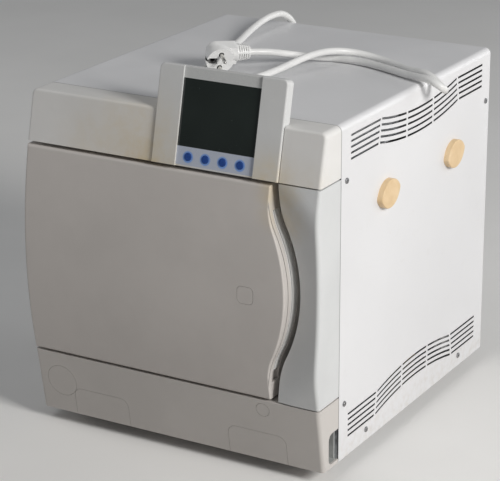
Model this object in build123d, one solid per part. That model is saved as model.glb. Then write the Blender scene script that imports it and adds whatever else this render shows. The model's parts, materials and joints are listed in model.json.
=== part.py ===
from build123d import *
import os
from math import atan2, cos, degrees, hypot, pi, radians, sin, sqrt, tan

os.makedirs("parts", exist_ok=True)

# A table-top steam steriliser for a dental practice: a horizontal pressure chamber behind
# a bowed door, a one-piece sheet metal cover, and plastic mouldings across the front.
#
# It is drawn in panel coordinates, millimetres. X runs to the right seen from the front and is 0
# in the middle. Y runs to the back and is 0 at the front frame. Z runs up and is 0 at the lower
# edge of the metal cover. write() moves each piece to the row's origin on the table.

# Metal cover
WIDTH = 425.0
COVER_D = 437.0
COVER_H = 440.0
COVER_SHEET = 1.5
COVER_BEND = 8.0
SEAM = 0.6
SHEET_GAP = 0.3
FOOT_H = 18.0
HALF_W = WIDTH / 2

# Screws of the cover: head, shank, and (Y, Z) on both sides
SCREW_SHANK_R = 2.0
SCREW_HEAD_R = 3.8
SCREW_HEAD_T = 1.8
SCREW_LEN = 3.8
SCREW_LOW_Z = 15.5
SCREW_PLACES = (
    (14.0, COVER_H - 72.0),
    (14.0, 75.0),
    (COVER_D - 12.0, COVER_H - 71.5),
    (75.5, SCREW_LOW_Z),
    (COVER_D - 78.0, SCREW_LOW_Z),
)

# Louvres of the cover
LOUVRE_ROWS = 5
LOUVRE_PITCH = 7.45
LOUVRE_SLOT = 3.0
LOUVRE_TOP_ROW = COVER_H - 17.7
LOUVRE_LOW_ROW = 26.3
LOUVRE_START = 25.0
LOUVRE_END = COVER_D - 25.5
LOUVRE_MID = COVER_D / 2 - 0.5
LOUVRE_R = 530.0
LOUVRE_HALF = 110.0
LOUVRE_HALF_STEP = 1.25
LOUVRE_THIRD = 38.5
LOUVRE_BRIDGE = 4.0

# Plastic front
WALL = 3.0
GAP = 0.3
EDGE_R = 5.0
HOOD_LOW = COVER_H - 65.0
HOOD_TOP_REACH = 37.0
HOOD_TILT = 13.0
PLINTH_TOP = 88.0
PLINTH_TOP_REACH = 53.0
PLINTH_LOW_REACH = 38.0

# Door, and the column right of it
DOOR_REACH = 68.0
DOOR_BOW = 14.5
DOOR_LOW = PLINTH_TOP + 3.0
DOOR_TOP = HOOD_LOW - 5.0
DOOR_BACK = 4.0
DOOR_SPLIT = 50.0
DOOR_EDGE_X = HALF_W - 67.5
DOOR_RIM_R = 4.0
FREE_EDGE_R = 1.8
HINGE_CORNER_R = 12.0
COLUMN_LOW = PLINTH_TOP + 2.0
COLUMN_TOP = HOOD_LOW - 2.0
GRIP_GAP = 10.0
SCOOP_DEPTH = 23.0
SCOOP_SLOPE = 0.325
SCOOP_BLEND_R = 60.0

# Chamber, and the swell of the door's free edge that is struck about its axis
AXIS_X = -15.0
AXIS_Z = (DOOR_LOW + DOOR_TOP) / 2 + 2.5
SWELL = 27.0
BLEND_R = 89.0
EDGE_END = 6.0
SWELL_R = min(
    DOOR_EDGE_X - AXIS_X + SWELL,
    hypot(DOOR_EDGE_X - AXIS_X + BLEND_R, (DOOR_TOP - DOOR_LOW) / 2 - EDGE_END) - BLEND_R,
)
CHAMBER_R = min((DOOR_TOP - DOOR_LOW) / 2 - 21.5, DOOR_EDGE_X - AXIS_X - 42.0)
CHAMBER_WALL = 3.0
CHAMBER_D = COVER_D - 87.0
CHAMBER_DISH = 28.0
INSULATION = 22.0
FLANGE_NOSE_R = CHAMBER_R + 16.0
FLANGE_R = CHAMBER_R + 28.0
FLANGE_T = 10.0
FLANGE_FACE = 1.7
BOSS_Y = CHAMBER_D + CHAMBER_DISH + 8.0
BOSS_R = 8.0
SADDLE_T = 4.0
SADDLE_HALF = CHAMBER_R - 23.0
SADDLE_DROP = 60.0
SADDLE_Y = (70.0, CHAMBER_D - 60.0)

# Pressure lid and its seal
LID_R = CHAMBER_R + 13.0
LID_BACK = DOOR_BACK - 1.0
LID_T = 8.0
LID_HUB_R = 24.0
LID_DISH_R = 60.0
SEAL_R = CHAMBER_R + 7.0
SEAL_W = 6.0
SEAL_D = 4.0
SEAL_GAP = 0.3
OPENING_FIT = 1.0
LID_GAP = 1.5

# Hinge
HINGE_X = -HALF_W + 14.5
HINGE_Y = -24.0
PIN_R = 5.0
PIN_FIT = 0.05
PIN_HEAD_T = 4.0
BUSH_WALL = 1.3
KNUCKLE_R = 9.0
KNUCKLE_LEN = 40.0
KNUCKLE_IN = WALL + 12.0
CARRIER_T = 5.0
CARRIER_HALF = 60.0
BRACKET_T = 5.0
BRACKET_LOW = PLINTH_TOP - WALL - 9.0
BRACKET_TOP = HOOD_LOW + WALL + 4.0

# Lock: sliding grip, bar with two hooks, and the plate with the strikers
LOCK_TRAVEL = 14.0
GRIP_HALF = min(104.0, (DOOR_TOP - DOOR_LOW) / 2 - 30.0)
GRIP_BACK_Y = -34.5
GRIP_THICK = 14.0
GRIP_TAIL = 1.6
GRIP_INSET = 1.0
GRIP_FIT = 1.0
EDGE_GROOVES = (57.5, 46.0)
GROOVE_W = 1.4
GROOVE_DEEP = 0.8
BAR_X0 = DOOR_EDGE_X - 21.0
BAR_X1 = DOOR_EDGE_X - 1.0
BAR_Y = -27.0
BAR_T = 4.0
BAR_OVER_LOW = 12.0
BAR_OVER_TOP = 8.0
HOOK_RISE = 70.0
HOOK_X = DOOR_EDGE_X - 9.0
HOOK_W = 6.0
HOOK_H = 14.0
HOOK_NOSE = 12.0
HOOK_REACH = 24.0
HOOK_THICK = 8.0
HOOK_ROOM = 4.0
STRIKER_PIN_R = 4.0
STRIKER_EAR = 4.0
PLATE_T = 2.0
PLATE_X0 = AXIS_X + 75.0
PLATE_X1 = DOOR_EDGE_X + 17.0
PLATE_HALF = HOOK_RISE + 42.0

# Display unit, in its own plane: x across, v up the slope, n out of it
DISPLAY_X0 = -24.0
DISPLAY_X1 = 155.0
DISPLAY_H = 123.0
DISPLAY_T = 12.0
DISPLAY_ARM_Z = HOOD_LOW + 20.0
CHEEK_W = 34.5
CHEEK_PROUD = 2.5
DISPLAY_CORNER = 7.0
DISPLAY_SEAM = 1.0
BEZEL_T = 2.5
SCREEN_V0 = 25.0
SCREEN_V1 = 108.0
SCREEN_MARGIN = 2.5
SCREEN_T = 1.5
BOARD_T = 1.6
CHIP_IN = (90.0, 40.0)
CHIP_SIDE = 35.0
CHIP_H = 3.0
SINK_IN = (10.0, 20.0)
SINK_SIZE = (40.0, 80.0, 19.0)
TERMINAL_IN = 10.0
TERMINAL_SIZE = (60.0, 12.0, 11.0)
KEY_COUNT = 4
KEY_V = 12.6
KEY_PITCH = 24.4
KEY_SHIFT = -1.6
KEY_R = 4.9
KEY_RISE = 0.8
KEY_TRAVEL = 0.5
KEY_FIT = 0.3
KEY_BACK = 3.9

# Frame and floor
SHEET = 2.0
FRAME_LIP = 20.0
FLOOR_Z = 2.0
FLOOR_TOP = FLOOR_Z + SHEET
FLOOR_SLOTS = 5
FLOOR_SLOT_PITCH = 30.0
FLOOR_SLOT_LEN = 100.0
FLOOR_SLOT_W = 6.0
SHELF_Z = COVER_H - 54.0
BACK_INSET = 2.5
INNER_X = HALF_W - COVER_SHEET - SHEET_GAP
INNER_TOP = COVER_H - COVER_SHEET - SHEET_GAP
BACK_Y = COVER_D - BACK_INSET

# Feet
FOOT_X = HALF_W - 47.5
FOOT_FRONT_Y = 40.0
FOOT_BACK_Y = COVER_D - 42.0
PAD_R = 16.0
PAD_T = 9.0
PAD_CHAMFER = 2.5
STUD_R = 4.0
STUD_FIT = 0.05
STUD_HEX = 7.5
STUD_OVER = 8.0
FOOT_BUSH_H = 10.0
FOOT_BUSH_R = 8.0

# Mains switch notch in the plinth's right side
NOTCH_REACH = 26.0
NOTCH_LOW = 5.0
NOTCH_TOP = 47.0
NOTCH_R = 9.0
SWITCH_INSET = 15.0
SWITCH_PLACE = (-14.5, 28.0)
SWITCH_WALL = 1.5
SWITCH_DEEP = 22.0
BRACKET_SHEET = 1.5
ROCKER_W = 12.0
ROCKER_H = 24.0
ROCKER_TILT = 8.0
ROCKER_PIVOT_IN = 5.0
ROCKER_AXLE_R = 1.5
ROCKER_FIT = 0.05

# Caps and flaps of the plinth: across the plinth and up its slope
FILTER_X = -HALF_W + 36.5
FILTER_V = 47.5
FILTER_R = 22.3
RESET_X = HALF_W - 80.5
RESET_V = 75.0
RESET_R = 9.2
FLAP_W = 84.0
FLAP_H = 40.5
FLAP_R = 12.0
FLAP_X = (FILTER_X + 60.0, HALF_W - 93.0)
SNAP_GAP = 0.4
SNAP_LIP = 2.0

# Small square cap in the door
DOOR_CAP_X = DOOR_EDGE_X - 27.5
DOOR_CAP_Z = AXIS_Z - 3.5
DOOR_CAP_W = 22.0
DOOR_CAP_R = 6.0

# Caps on the metal cover's sides
SIDE_CAP_Y = (122.5, 318.5)
SIDE_CAP_Z = COVER_H - 118.0
SIDE_CAP_LEN = 52.0
SIDE_CAP_H = 37.0
SIDE_CAP_TIP = 6.0
SIDE_CAP_RISE = 8.0
SIDE_CAP_TURN = 9.0
SIDE_CAP_ROUND = 1.5

# Fan and the condenser in front of it
FAN_X = -HALF_W + 72.5
FAN_Z = SHELF_Z - 64.0
FAN_W = 92.0
FAN_DEEP = 25.0
FAN_DUCT_R = 43.0
FAN_HUB_R = 16.0
FAN_TIP_R = 40.0
FAN_BLADES = 7
FAN_SHAFT_R = 3.0
FAN_FIT = 0.05
GRILLE_RINGS = (12.0, 20.0, 28.0, 36.0)
GRILLE_SLOT = 4.5
CONDENSER_T = 20.0
CONDENSER_FINS = 10
CONDENSER_PITCH = 8.0

# Plant beside the chamber
PIPE_R = 5.0
PIPE_BEND = 11.0
PIPE_BACK = 21.0
PIPE_STEAM = (AXIS_X + 70.0, AXIS_Z + 40.0)
PIPE_DRAIN = (AXIS_X - 60.0, AXIS_Z - 60.0)
GENERATOR_X = HALF_W - 39.5
GENERATOR_Y = BACK_Y - 84.5
GENERATOR_R = 33.0
GENERATOR_TOP = AXIS_Z + 3.0
PUMP_X = HALF_W - 54.5
PUMP_Z = 48.0
PUMP_RISE = 32.0
PORT_RISE = 50.0
PORT_R = 7.0
PORT_IN = 20.0
PUMP_Y1 = 262.0
MOTOR_R = 34.0
MOTOR_Y0 = 80.0
MOTOR_Y1 = 185.0
VALVES_X = -HALF_W + 40.5
VALVES_Y = (70.0, 115.0, 160.0, 205.0)
VALVES_TOP = 74.0
VALVE_R = 13.0

# Boards on the shelf
CONTROL_X0 = -HALF_W + 62.5
CONTROL_X1 = 50.0
CONTROL_Y0 = 60.0
CONTROL_Y1 = 220.0
SUPPLY_X0 = HALF_W - 127.5
SUPPLY_X1 = HALF_W - 22.5
SUPPLY_Y0 = 60.0
SUPPLY_Y1 = 200.0
SUPPLY_H = 38.0

# Connectors at the back
CONNECTOR_R = 6.0
CONNECTOR_Z = 60.0
CONNECTOR_X = (60.0, 95.0, 130.0)
REAR_REACH = 16.0

# Mains cord: gland, route, plug. The route's points are the cord's middle line.
CORD_R = 4.8
GLAND_X = -112.0
GLAND_Z = 62.0
GLAND_LEN = 24.0
GLAND_HOLE_R = 8.5
CORD_LEAD = 25.5
ARC_SHARE = 0.45
CORD_POINTS = [
    (-112, 509, 72),
    (-111, 525, 96),
    (-110, 528, 132),
    (-108, 520, 176),
    (-106, 506, 226),
    (-104, 491, 278),
    (-103, 479, 330),
    (-102, 470, 378),
    (-102, 464, 411),
    (-104, 453, 438),
    (-107, 430, 454.5),
    (-109, 404, 457),
    (-110, 373, 454.5),
    (-106, 331, 449),
    (-95, 284, 445.3),
    (-84, 236, 445.3),
    (-73, 190, 445.3),
    (-64, 152, 445.3),
    (-58, 124, 445.3),
    (-43, 103, 445.3),
    (-18, 94, 445.3),
    (7, 102, 445.3),
    (21.5, 122, 445.3),
    (28, 145, 447),
    (35.5, 163, 450),
    (43.5, 184, 454.5),
    (50.5, 210.5, 458.5),
    (59.5, 241.5, 459.5),
    (74, 265, 457),
    (95, 280, 452.5),
    (123, 283, 447.5),
    (158, 268, 445.3),
    (182, 255, 445.3),
    (205, 246, 448),
    (219.5, 240.5, 443.5),
    (229.5, 237, 437),
    (241, 230.5, 432.5),
    (244, 219.5, 437.5),
    (236, 214.5, 444),
    (221, 219, 448),
    (205, 224.5, 447),
    (180, 236, 445.3),
    (150, 250, 445.3),
    (106.5, 266, 445.3),
    (70, 268, 445.3),
    (46, 261.5, 445.3),
    (28.5, 247, 448),
    (15, 229, 453),
    (3.5, 209, 458.5),
]
PLUG_FACE = Plane(origin=(-35.8, 135.1, 458.2), x_dir=(0.674, 0.739, -0.058), z_dir=(0.683, -0.650, -0.334))
PLUG_R = 18.5
PLUG_DISC = 13.0
PLUG_DEEP = 31.0
PLUG_EDGE = 3.0
PLUG_BACK_W = 25.0
CABLE_BEHIND = 20.0
RELIEF_START = 26.0
RELIEF_END = 45.0
RELIEF_RIBS = 6
RELIEF_R = 12.0
RELIEF_TAPER = 0.5
RELIEF_GROOVE = 1.4
RELIEF_BANDS = 3
PLUG_PIN_R = 2.4
PLUG_PIN_LEN = 19.0
PLUG_PIN_PITCH = 19.0
EARTH_HOLE_X = -10.0
EARTH_RECESS = 12.0

# Where the row's origin lies in panel coordinates
MID_Y = (COVER_D + REAR_REACH - DOOR_REACH) / 2
TO_ROW = Pos(0, -MID_Y, FOOT_H)

# Lengths that follow
HOOD_LOW_REACH = HOOD_TOP_REACH + (COVER_H - HOOD_LOW) * tan(radians(HOOD_TILT))
BOW_R = ((DOOR_TOP - DOOR_LOW) ** 2 / 4 + DOOR_BOW**2) / (2 * DOOR_BOW)
BOW_Z = (DOOR_TOP + DOOR_LOW) / 2
DISPLAY_FACE = Plane(
    origin=(0, -HOOD_LOW_REACH, HOOD_LOW),
    x_dir=(1, 0, 0),
    z_dir=(0, -cos(radians(HOOD_TILT)), sin(radians(HOOD_TILT))),
)
PLINTH_LEAN = degrees(atan2(PLINTH_TOP_REACH - PLINTH_LOW_REACH, PLINTH_TOP))
PLINTH_FACE = Plane(
    origin=(0, -PLINTH_LOW_REACH, 0),
    x_dir=(1, 0, 0),
    z_dir=(0, -cos(radians(PLINTH_LEAN)), -sin(radians(PLINTH_LEAN))),
)


def block(x0, x1, y0, y1, z0, z1):
    """A box between two corners."""
    return Pos((x0 + x1) / 2, (y0 + y1) / 2, (z0 + z1) / 2) * Box(x1 - x0, y1 - y0, z1 - z0)


def rod(axis, a, b, start, end, radius):
    """A round bar along X, Y or Z. a and b are its place on the other two axes, in X, Y, Z order."""
    mid = (start + end) / 2
    bar = Cylinder(radius, end - start)
    if axis == "x":
        return Pos(mid, a, b) * Rot(0, 90, 0) * bar
    if axis == "y":
        return Pos(a, mid, b) * Rot(90, 0, 0) * bar
    return Pos(a, b, mid) * bar


def tube(axis, a, b, start, end, radius, bore):
    """A round bar with a bore through it."""
    return rod(axis, a, b, start, end, radius) - rod(axis, a, b, start - 1, end + 1, bore)


def across(points, x0, x1):
    """A (Y, Z) outline drawn along X from x0 to x1."""
    plane = Plane(origin=(x0, 0, 0), x_dir=(0, 1, 0), z_dir=(1, 0, 0))
    return extrude(plane * Polygon(*points, align=None), x1 - x0, dir=(1, 0, 0))


def facing(sketch, y_back, y_front):
    """An (X, Z) outline drawn forward along Y from y_back to y_front."""
    plane = Plane(origin=(0, y_back, 0), x_dir=(1, 0, 0), z_dir=(0, -1, 0))
    return extrude(plane * sketch, y_back - y_front, dir=(0, -1, 0))


def turned(points, x, z):
    """A (radius, Y) outline turned about the line along Y at x and z."""
    return Pos(x, 0, z) * revolve(Polygon(*points, align=None), Axis.Y)


def local(plane, shape):
    """A shape drawn in a plane's own coordinates."""
    return plane.location * shape


def both_sides(shape):
    """A shape and its mirror image in X, as one set."""
    return [shape, mirror(shape, Plane.YZ)]


def joined(shapes):
    """Solids side by side as one piece or one set."""
    first, *rest = list(shapes)
    for shape in rest:
        first = first + shape
    return first


def group(shapes):
    """Separate solids kept apart in one node."""
    return Compound([shape.solid() for shape in shapes])


def write(name, shape):
    """Writes one node in the row's coordinates."""
    moved = TO_ROW * shape
    export_step(moved, f"parts/{name}.step")
    return moved


# Curves of the front


def bow_y(z, inset=0.0):
    """Y of the bowed front at a height, or of a skin inside it."""
    return -DOOR_REACH + BOW_R - sqrt((BOW_R - inset) ** 2 - (z - BOW_Z) ** 2)


def bow_block(inset, z0, z1, x0, x1, y_back):
    """Everything behind the bowed front, between two heights."""
    low = (bow_y(z0, inset), z0)
    top = (bow_y(z1, inset), z1)
    crest_z = (z0 + z1) / 2
    crest = (bow_y(crest_z, inset), crest_z)
    outline = ThreePointArc(low, crest, top) + Polyline(top, (y_back, z1), (y_back, z0), low)
    plane = Plane(origin=(x0, 0, 0), x_dir=(0, 1, 0), z_dir=(1, 0, 0))
    return extrude(plane * make_face(outline), x1 - x0)


def on_arc(centre, radius, angle):
    return (centre[0] + radius * cos(angle), centre[1] + radius * sin(angle))


def arc_between(centre, radius, start, end):
    """A circular arc between two angles in radians."""
    middle = (start + end) / 2
    return ThreePointArc(
        on_arc(centre, radius, start), on_arc(centre, radius, middle), on_arc(centre, radius, end)
    )


def free_edge(offset, z0, z1):
    """The swelling free edge of the door, from low to high, moved to the right by an offset."""
    swell = SWELL_R + offset
    blend = BLEND_R - offset
    edge_x = DOOR_EDGE_X + offset
    run = DOOR_EDGE_X + BLEND_R - AXIS_X
    rise = sqrt((SWELL_R + BLEND_R) ** 2 - run**2)
    turn = atan2(rise, run)
    low_centre = (edge_x + blend, AXIS_Z - rise)
    top_centre = (edge_x + blend, AXIS_Z + rise)
    return (
        Line((edge_x, z0), (edge_x, AXIS_Z - rise))
        + arc_between(low_centre, blend, pi, pi - turn)
        + arc_between((AXIS_X, AXIS_Z), swell, -turn, turn)
        + arc_between(top_centre, blend, pi + turn, pi)
        + Line((edge_x, AXIS_Z + rise), (edge_x, z1))
    )


def left_of_edge(offset, x0, z0, z1):
    """The face between a vertical line and the free edge."""
    edge_x = DOOR_EDGE_X + offset
    sides = Polyline((edge_x, z1), (x0, z1), (x0, z0), (edge_x, z0))
    return make_face(free_edge(offset, z0, z1) + sides)


def right_of_edge(offset, x1, z0, z1):
    """The face between the free edge and a vertical line."""
    edge_x = DOOR_EDGE_X + offset
    sides = Polyline((edge_x, z1), (x1, z1), (x1, z0), (edge_x, z0))
    return make_face(free_edge(offset, z0, z1) + sides)


def edge_strip(offset, width, z0, z1):
    """The face of a strip that follows the free edge, from its outer side to width inside it."""
    low = DOOR_LOW - 10
    top = DOOR_TOP + 10
    inside = left_of_edge(offset - width, AXIS_X - 1, low - 1, top + 1)
    strip = left_of_edge(offset, AXIS_X, low, top) - inside
    return strip & Pos(DOOR_EDGE_X, (z0 + z1) / 2) * Rectangle(WIDTH, z1 - z0)


def front_edges(shape, low, top):
    """The edges round a bowed front."""
    found = []
    for edge in shape.edges():
        mid = edge @ 0.5
        if low - 0.1 < mid.Z < top + 0.1 and abs(mid.Y - bow_y(mid.Z)) < 0.05:
            found.append(edge)
    return found


# Cover and frame


def louvre_slot(y0, y1, z0, z1, sag_centre):
    """One slot of a louvre, straight when sag_centre is None, else bent about that height."""
    half = LOUVRE_SLOT / 2
    if sag_centre is None:
        outline = [(y0, z0 - half), (y1, z1 - half), (y1, z1 + half), (y0, z0 + half)]
        return across(outline, -HALF_W - 1, HALF_W + 1)
    side = 1 if z0 > sag_centre else -1

    def at(y, radius):
        return (y, sag_centre + side * sqrt(radius**2 - (y - LOUVRE_MID) ** 2))

    mid = (y0 + y1) / 2
    inner = LOUVRE_R - half
    outer = LOUVRE_R + half
    outline = (
        ThreePointArc(at(y0, inner), at(mid, inner), at(y1, inner))
        + Line(at(y1, inner), at(y1, outer))
        + ThreePointArc(at(y1, outer), at(mid, outer), at(y0, outer))
        + Line(at(y0, outer), at(y0, inner))
    )
    plane = Plane(origin=(-HALF_W - 1, 0, 0), x_dir=(0, 1, 0), z_dir=(1, 0, 0))
    return extrude(plane * make_face(outline), WIDTH + 2)


def louvre_row(z_line, half, side):
    """The five slots of one row. side is 1 where the middle bulges up and -1 where it dips."""
    sag_centre = z_line - side * sqrt(LOUVRE_R**2 - half**2)
    bridge = LOUVRE_BRIDGE / 2
    third = LOUVRE_THIRD
    bent = [(-half, -third - bridge), (-third + bridge, third - bridge), (third + bridge, half)]
    slots = []
    for start, end in bent:
        y0 = LOUVRE_MID + start
        y1 = LOUVRE_MID + end
        slots.append(louvre_slot(y0, y1, z_line, z_line, sag_centre))
    front_end = LOUVRE_MID - half - LOUVRE_BRIDGE
    back_start = LOUVRE_MID + half + LOUVRE_BRIDGE
    slots.append(louvre_slot(LOUVRE_START, front_end, z_line, z_line, None))
    slots.append(louvre_slot(back_start, LOUVRE_END, z_line, z_line, None))
    return slots


def louvres():
    slots = []
    for row in range(LOUVRE_ROWS):
        half = LOUVRE_HALF + LOUVRE_HALF_STEP * row
        slots += louvre_row(LOUVRE_TOP_ROW - LOUVRE_PITCH * row, half, -1)
        low_z = LOUVRE_LOW_ROW + LOUVRE_PITCH * (LOUVRE_ROWS - 1 - row)
        slots += louvre_row(low_z, half, 1)
    return slots


def bent_sheet(inset, y0, y1):
    """The U of the cover as a full block, inset all round."""
    x = HALF_W - inset
    body = block(-x, x, y0, y1, -2 * inset, COVER_H - inset)
    top = [e for e in body.edges().filter_by(Axis.Y) if (e @ 0.5).Z > COVER_H / 2]
    return fillet(top, COVER_BEND - inset)


def metal_cover():
    cover = bent_sheet(0, SEAM, COVER_D) - bent_sheet(COVER_SHEET, SEAM - 1, COVER_D + 1)
    cover = cover - louvres()
    return cover - screw_holes()


def screw_holes():
    """One bar through both sides for each pair of screws."""
    return [rod("x", y, z, -HALF_W - 1, HALF_W + 1, SCREW_SHANK_R) for y, z in SCREW_PLACES]


def cover_screws():
    """Pan-head screws through the cover's sides into the frame."""
    screws = []
    for y, z in SCREW_PLACES:
        head = rod("x", y, z, HALF_W, HALF_W + SCREW_HEAD_T, SCREW_HEAD_R)
        rim = [e for e in head.edges().filter_by(GeomType.CIRCLE) if (e @ 0).X > HALF_W + 1]
        head = fillet(rim, SCREW_HEAD_T * 0.6)
        slot = block(HALF_W + 1.1, HALF_W + 3, y - 2.4, y + 2.4, z - 0.4, z + 0.4)
        cross = block(HALF_W + 1.1, HALF_W + 3, y - 0.4, y + 0.4, z - 2.4, z + 2.4)
        shank = rod("x", y, z, HALF_W - SCREW_LEN, HALF_W, SCREW_SHANK_R)
        screws += both_sides(head - slot - cross + shank)
    return group(screws)


def side_lips(y0, y1):
    """The narrow flanges along both sides of an upright sheet."""
    low = FLOOR_Z + FRAME_LIP + 4
    return both_sides(block(INNER_X - SHEET, INNER_X, y0, y1, low, COVER_H - COVER_BEND - 4))


def front_frame():
    """The steel front plate with lips turned back along its sides."""
    plate = block(-INNER_X, INNER_X, 0, SHEET, FLOOR_Z, INNER_TOP)
    frame = joined([plate] + side_lips(0, FRAME_LIP))
    frame = frame - rod("y", AXIS_X, AXIS_Z, -1, SHEET + 1, FLANGE_NOSE_R + OPENING_FIT)
    half = PLATE_HALF - 8
    frame = frame - block(AXIS_X, PLATE_X1 - 9, -1, SHEET + 1, AXIS_Z - half, AXIS_Z + half)
    corners = [e for e in frame.edges().filter_by(Axis.Y) if near_top_corner(e)]
    return fillet(corners, COVER_BEND - COVER_SHEET) - screw_holes()


def near_top_corner(edge):
    mid = edge @ 0.5
    return abs(mid.X) > INNER_X - 0.1 and mid.Z > COVER_H - COVER_SHEET - 1 and mid.Y < SHEET + 0.1


def rear_panel():
    """The steel back with its fan grille and holes for what passes through."""
    y0 = BACK_Y - SHEET
    plate = block(-INNER_X, INNER_X, y0, BACK_Y, FLOOR_Z, INNER_TOP)
    panel = joined([plate] + side_lips(BACK_Y - FRAME_LIP, BACK_Y))
    corners = [e for e in panel.edges().filter_by(Axis.Y) if back_corner(e)]
    panel = fillet(corners, COVER_BEND - COVER_SHEET)
    panel = panel - fan_grille(y0)
    panel = panel - rod("y", GLAND_X, GLAND_Z, y0 - 1, BACK_Y + 1, GLAND_HOLE_R)
    panel = panel - rod("y", AXIS_X, AXIS_Z, y0 - 1, BACK_Y + 1, VALVE_R)
    for x in CONNECTOR_X:
        panel = panel - rod("y", x, CONNECTOR_Z, y0 - 1, BACK_Y + 1, CONNECTOR_R)
    return panel - screw_holes()


def back_corner(edge):
    mid = edge @ 0.5
    return abs(mid.X) > INNER_X - 0.1 and mid.Z > COVER_H - COVER_SHEET - 1


def fan_grille(y0):
    """Rings of slots in front of the fan, held by four spokes."""
    rings = []
    half = GRILLE_SLOT / 2
    for radius in GRILLE_RINGS:
        rings.append(tube("y", FAN_X, FAN_Z, y0 - 1, BACK_Y + 1, radius + half, radius - half))
    cut = joined(rings)
    reach = FAN_DUCT_R + 2
    for turn in (45, 135):
        bar = Pos(FAN_X, BACK_Y - SHEET / 2, FAN_Z) * Rot(0, turn, 0) * Box(2 * reach, SHEET + 4, 5)
        cut = cut - bar
    return cut


def base_pan():
    """The steel floor with its sides turned up and bushes for the front feet."""
    floor = block(-INNER_X, INNER_X, SHEET, BACK_Y - SHEET, FLOOR_Z, FLOOR_TOP)
    lip_top = FLOOR_Z + FRAME_LIP
    lips = both_sides(block(INNER_X - SHEET, INNER_X, SHEET, BACK_Y - SHEET, FLOOR_Z, lip_top))
    pan = joined([floor] + lips)
    for x in (-FOOT_X, FOOT_X):
        pan = pan + rod("z", x, FOOT_FRONT_Y, FLOOR_TOP, FLOOR_TOP + FOOT_BUSH_H, FOOT_BUSH_R)
        pan = pan - rod("z", x, FOOT_FRONT_Y, FLOOR_Z - 1, FLOOR_TOP + FOOT_BUSH_H + 1, STUD_R + STUD_FIT)
    for row in range(FLOOR_SLOTS):
        y = SADDLE_Y[0] + FLOOR_SLOT_PITCH * (row + 1)
        pan = pan - block(-FLOOR_SLOT_LEN / 2, FLOOR_SLOT_LEN / 2, y, y + FLOOR_SLOT_W, 0, FLOOR_TOP + 1)
    return pan - screw_holes()


def foot_stud(x):
    """Threaded stud of a front foot, with its hexagon above the pad."""
    low = -FOOT_H + PAD_T
    stud = rod("z", x, FOOT_FRONT_Y, low, FLOOR_TOP + FOOT_BUSH_H + STUD_OVER, STUD_R)
    nut = Pos(x, FOOT_FRONT_Y, low) * extrude(RegularPolygon(STUD_HEX, 6), 5)
    return stud + nut


def foot_pad(radius, thickness, x, y):
    """A round rubber pad, drawn in at the top."""
    pad = rod("z", x, y, -FOOT_H, -FOOT_H + thickness, radius)
    top = [e for e in pad.edges().filter_by(GeomType.CIRCLE) if (e @ 0).Z > -FOOT_H + thickness - 0.1]
    return chamfer(top, PAD_CHAMFER)


def rear_feet():
    """Two plain rubber feet under the back of the floor."""
    feet = [foot_pad(PAD_R, FOOT_H + FLOOR_Z, x, FOOT_BACK_Y) for x in (-FOOT_X, FOOT_X)]
    return group(feet)


def component_shelf():
    """A steel shelf over the chamber, cut out behind for the fan's air."""
    x = INNER_X - SHEET
    shelf = block(-x, x, SHEET, BACK_Y - SHEET, SHELF_Z, SHELF_Z + SHEET)
    half = FAN_W / 2 + 9
    return shelf - block(FAN_X - half, FAN_X + half, BACK_Y - 84, BACK_Y, SHELF_Z - 1, SHELF_Z + SHEET + 1)


# Front mouldings


def hood_block(inset, x_reach, y_back):
    """The cowl over the door as a full block, inset all round."""
    slope = tan(radians(HOOD_TILT))
    skin = inset / cos(radians(HOOD_TILT))
    low = HOOD_LOW + inset
    top = COVER_H - inset
    low_y = -HOOD_LOW_REACH + skin + inset * slope
    top_y = -HOOD_TOP_REACH + skin - inset * slope
    return across([(y_back, low), (low_y, low), (top_y, top), (y_back, top)], -x_reach, x_reach)


def hood():
    body = hood_block(0, HALF_W, 0)
    ridge = [e for e in body.edges().filter_by(Axis.Y) if (e @ 0.5).Z > COVER_H - 1]
    body = fillet(ridge, COVER_BEND)
    rim = [e for e in body.edges() if is_hood_front(e)]
    body = fillet(rim, EDGE_R - 1)
    body = body - hood_block(WALL, HALF_W - WALL, 1)
    half = DISPLAY_SEAM
    notch = local(
        DISPLAY_FACE,
        block(DISPLAY_X0 - half, DISPLAY_X1 + half, -20, 90, -DISPLAY_T - half, 20),
    )
    back = display_back_y(HOOD_LOW) + half
    floor_cut = block(DISPLAY_X0 - half, DISPLAY_X1 + half, -80, back, HOOD_LOW - 5, HOOD_LOW + 5)
    pin_hole = rod("z", HINGE_X, HINGE_Y, HOOD_LOW - 1, HOOD_LOW + WALL + 1, PIN_R + 0.5)
    return body - notch - floor_cut - pin_hole


def is_hood_front(edge):
    """The hood's front edges, save the one along its underside."""
    mid = edge @ 0.5
    slope_y = -HOOD_LOW_REACH + (mid.Z - HOOD_LOW) * tan(radians(HOOD_TILT))
    return abs(mid.Y - slope_y) < 2.5 and mid.Z > HOOD_LOW + 1


def display_back_y(z):
    """Y of the display's back at a height."""
    front = -HOOD_LOW_REACH + (z - HOOD_LOW) * tan(radians(HOOD_TILT))
    return front + DISPLAY_T / cos(radians(HOOD_TILT))


def front_column():
    """The fixed moulding right of the door, scooped out round the swell for the fingers."""
    body = column_block(0, HALF_W, 0)
    crease = [e for e in body.edges() if is_scoop_rim(e)]
    body = fillet(crease, SCOOP_BLEND_R)
    corner = [e for e in body.edges() if is_column_corner(e, 0, HALF_W)]
    body = fillet(corner, EDGE_R - 1)
    return body - column_block(WALL, HALF_W - WALL, 1)


def is_scoop_rim(edge):
    """The long edges where the scoop meets the bowed front."""
    mid = edge @ 0.5
    on_bow = all(abs((edge @ t).Y - bow_y((edge @ t).Z)) < 0.05 for t in (0.1, 0.5, 0.9))
    slanted = abs((edge @ 0).X - (edge @ 1).X) > 10 and abs((edge @ 0).Z - (edge @ 1).Z) > 10
    return on_bow and slanted and mid.X < HALF_W - 1


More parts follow.
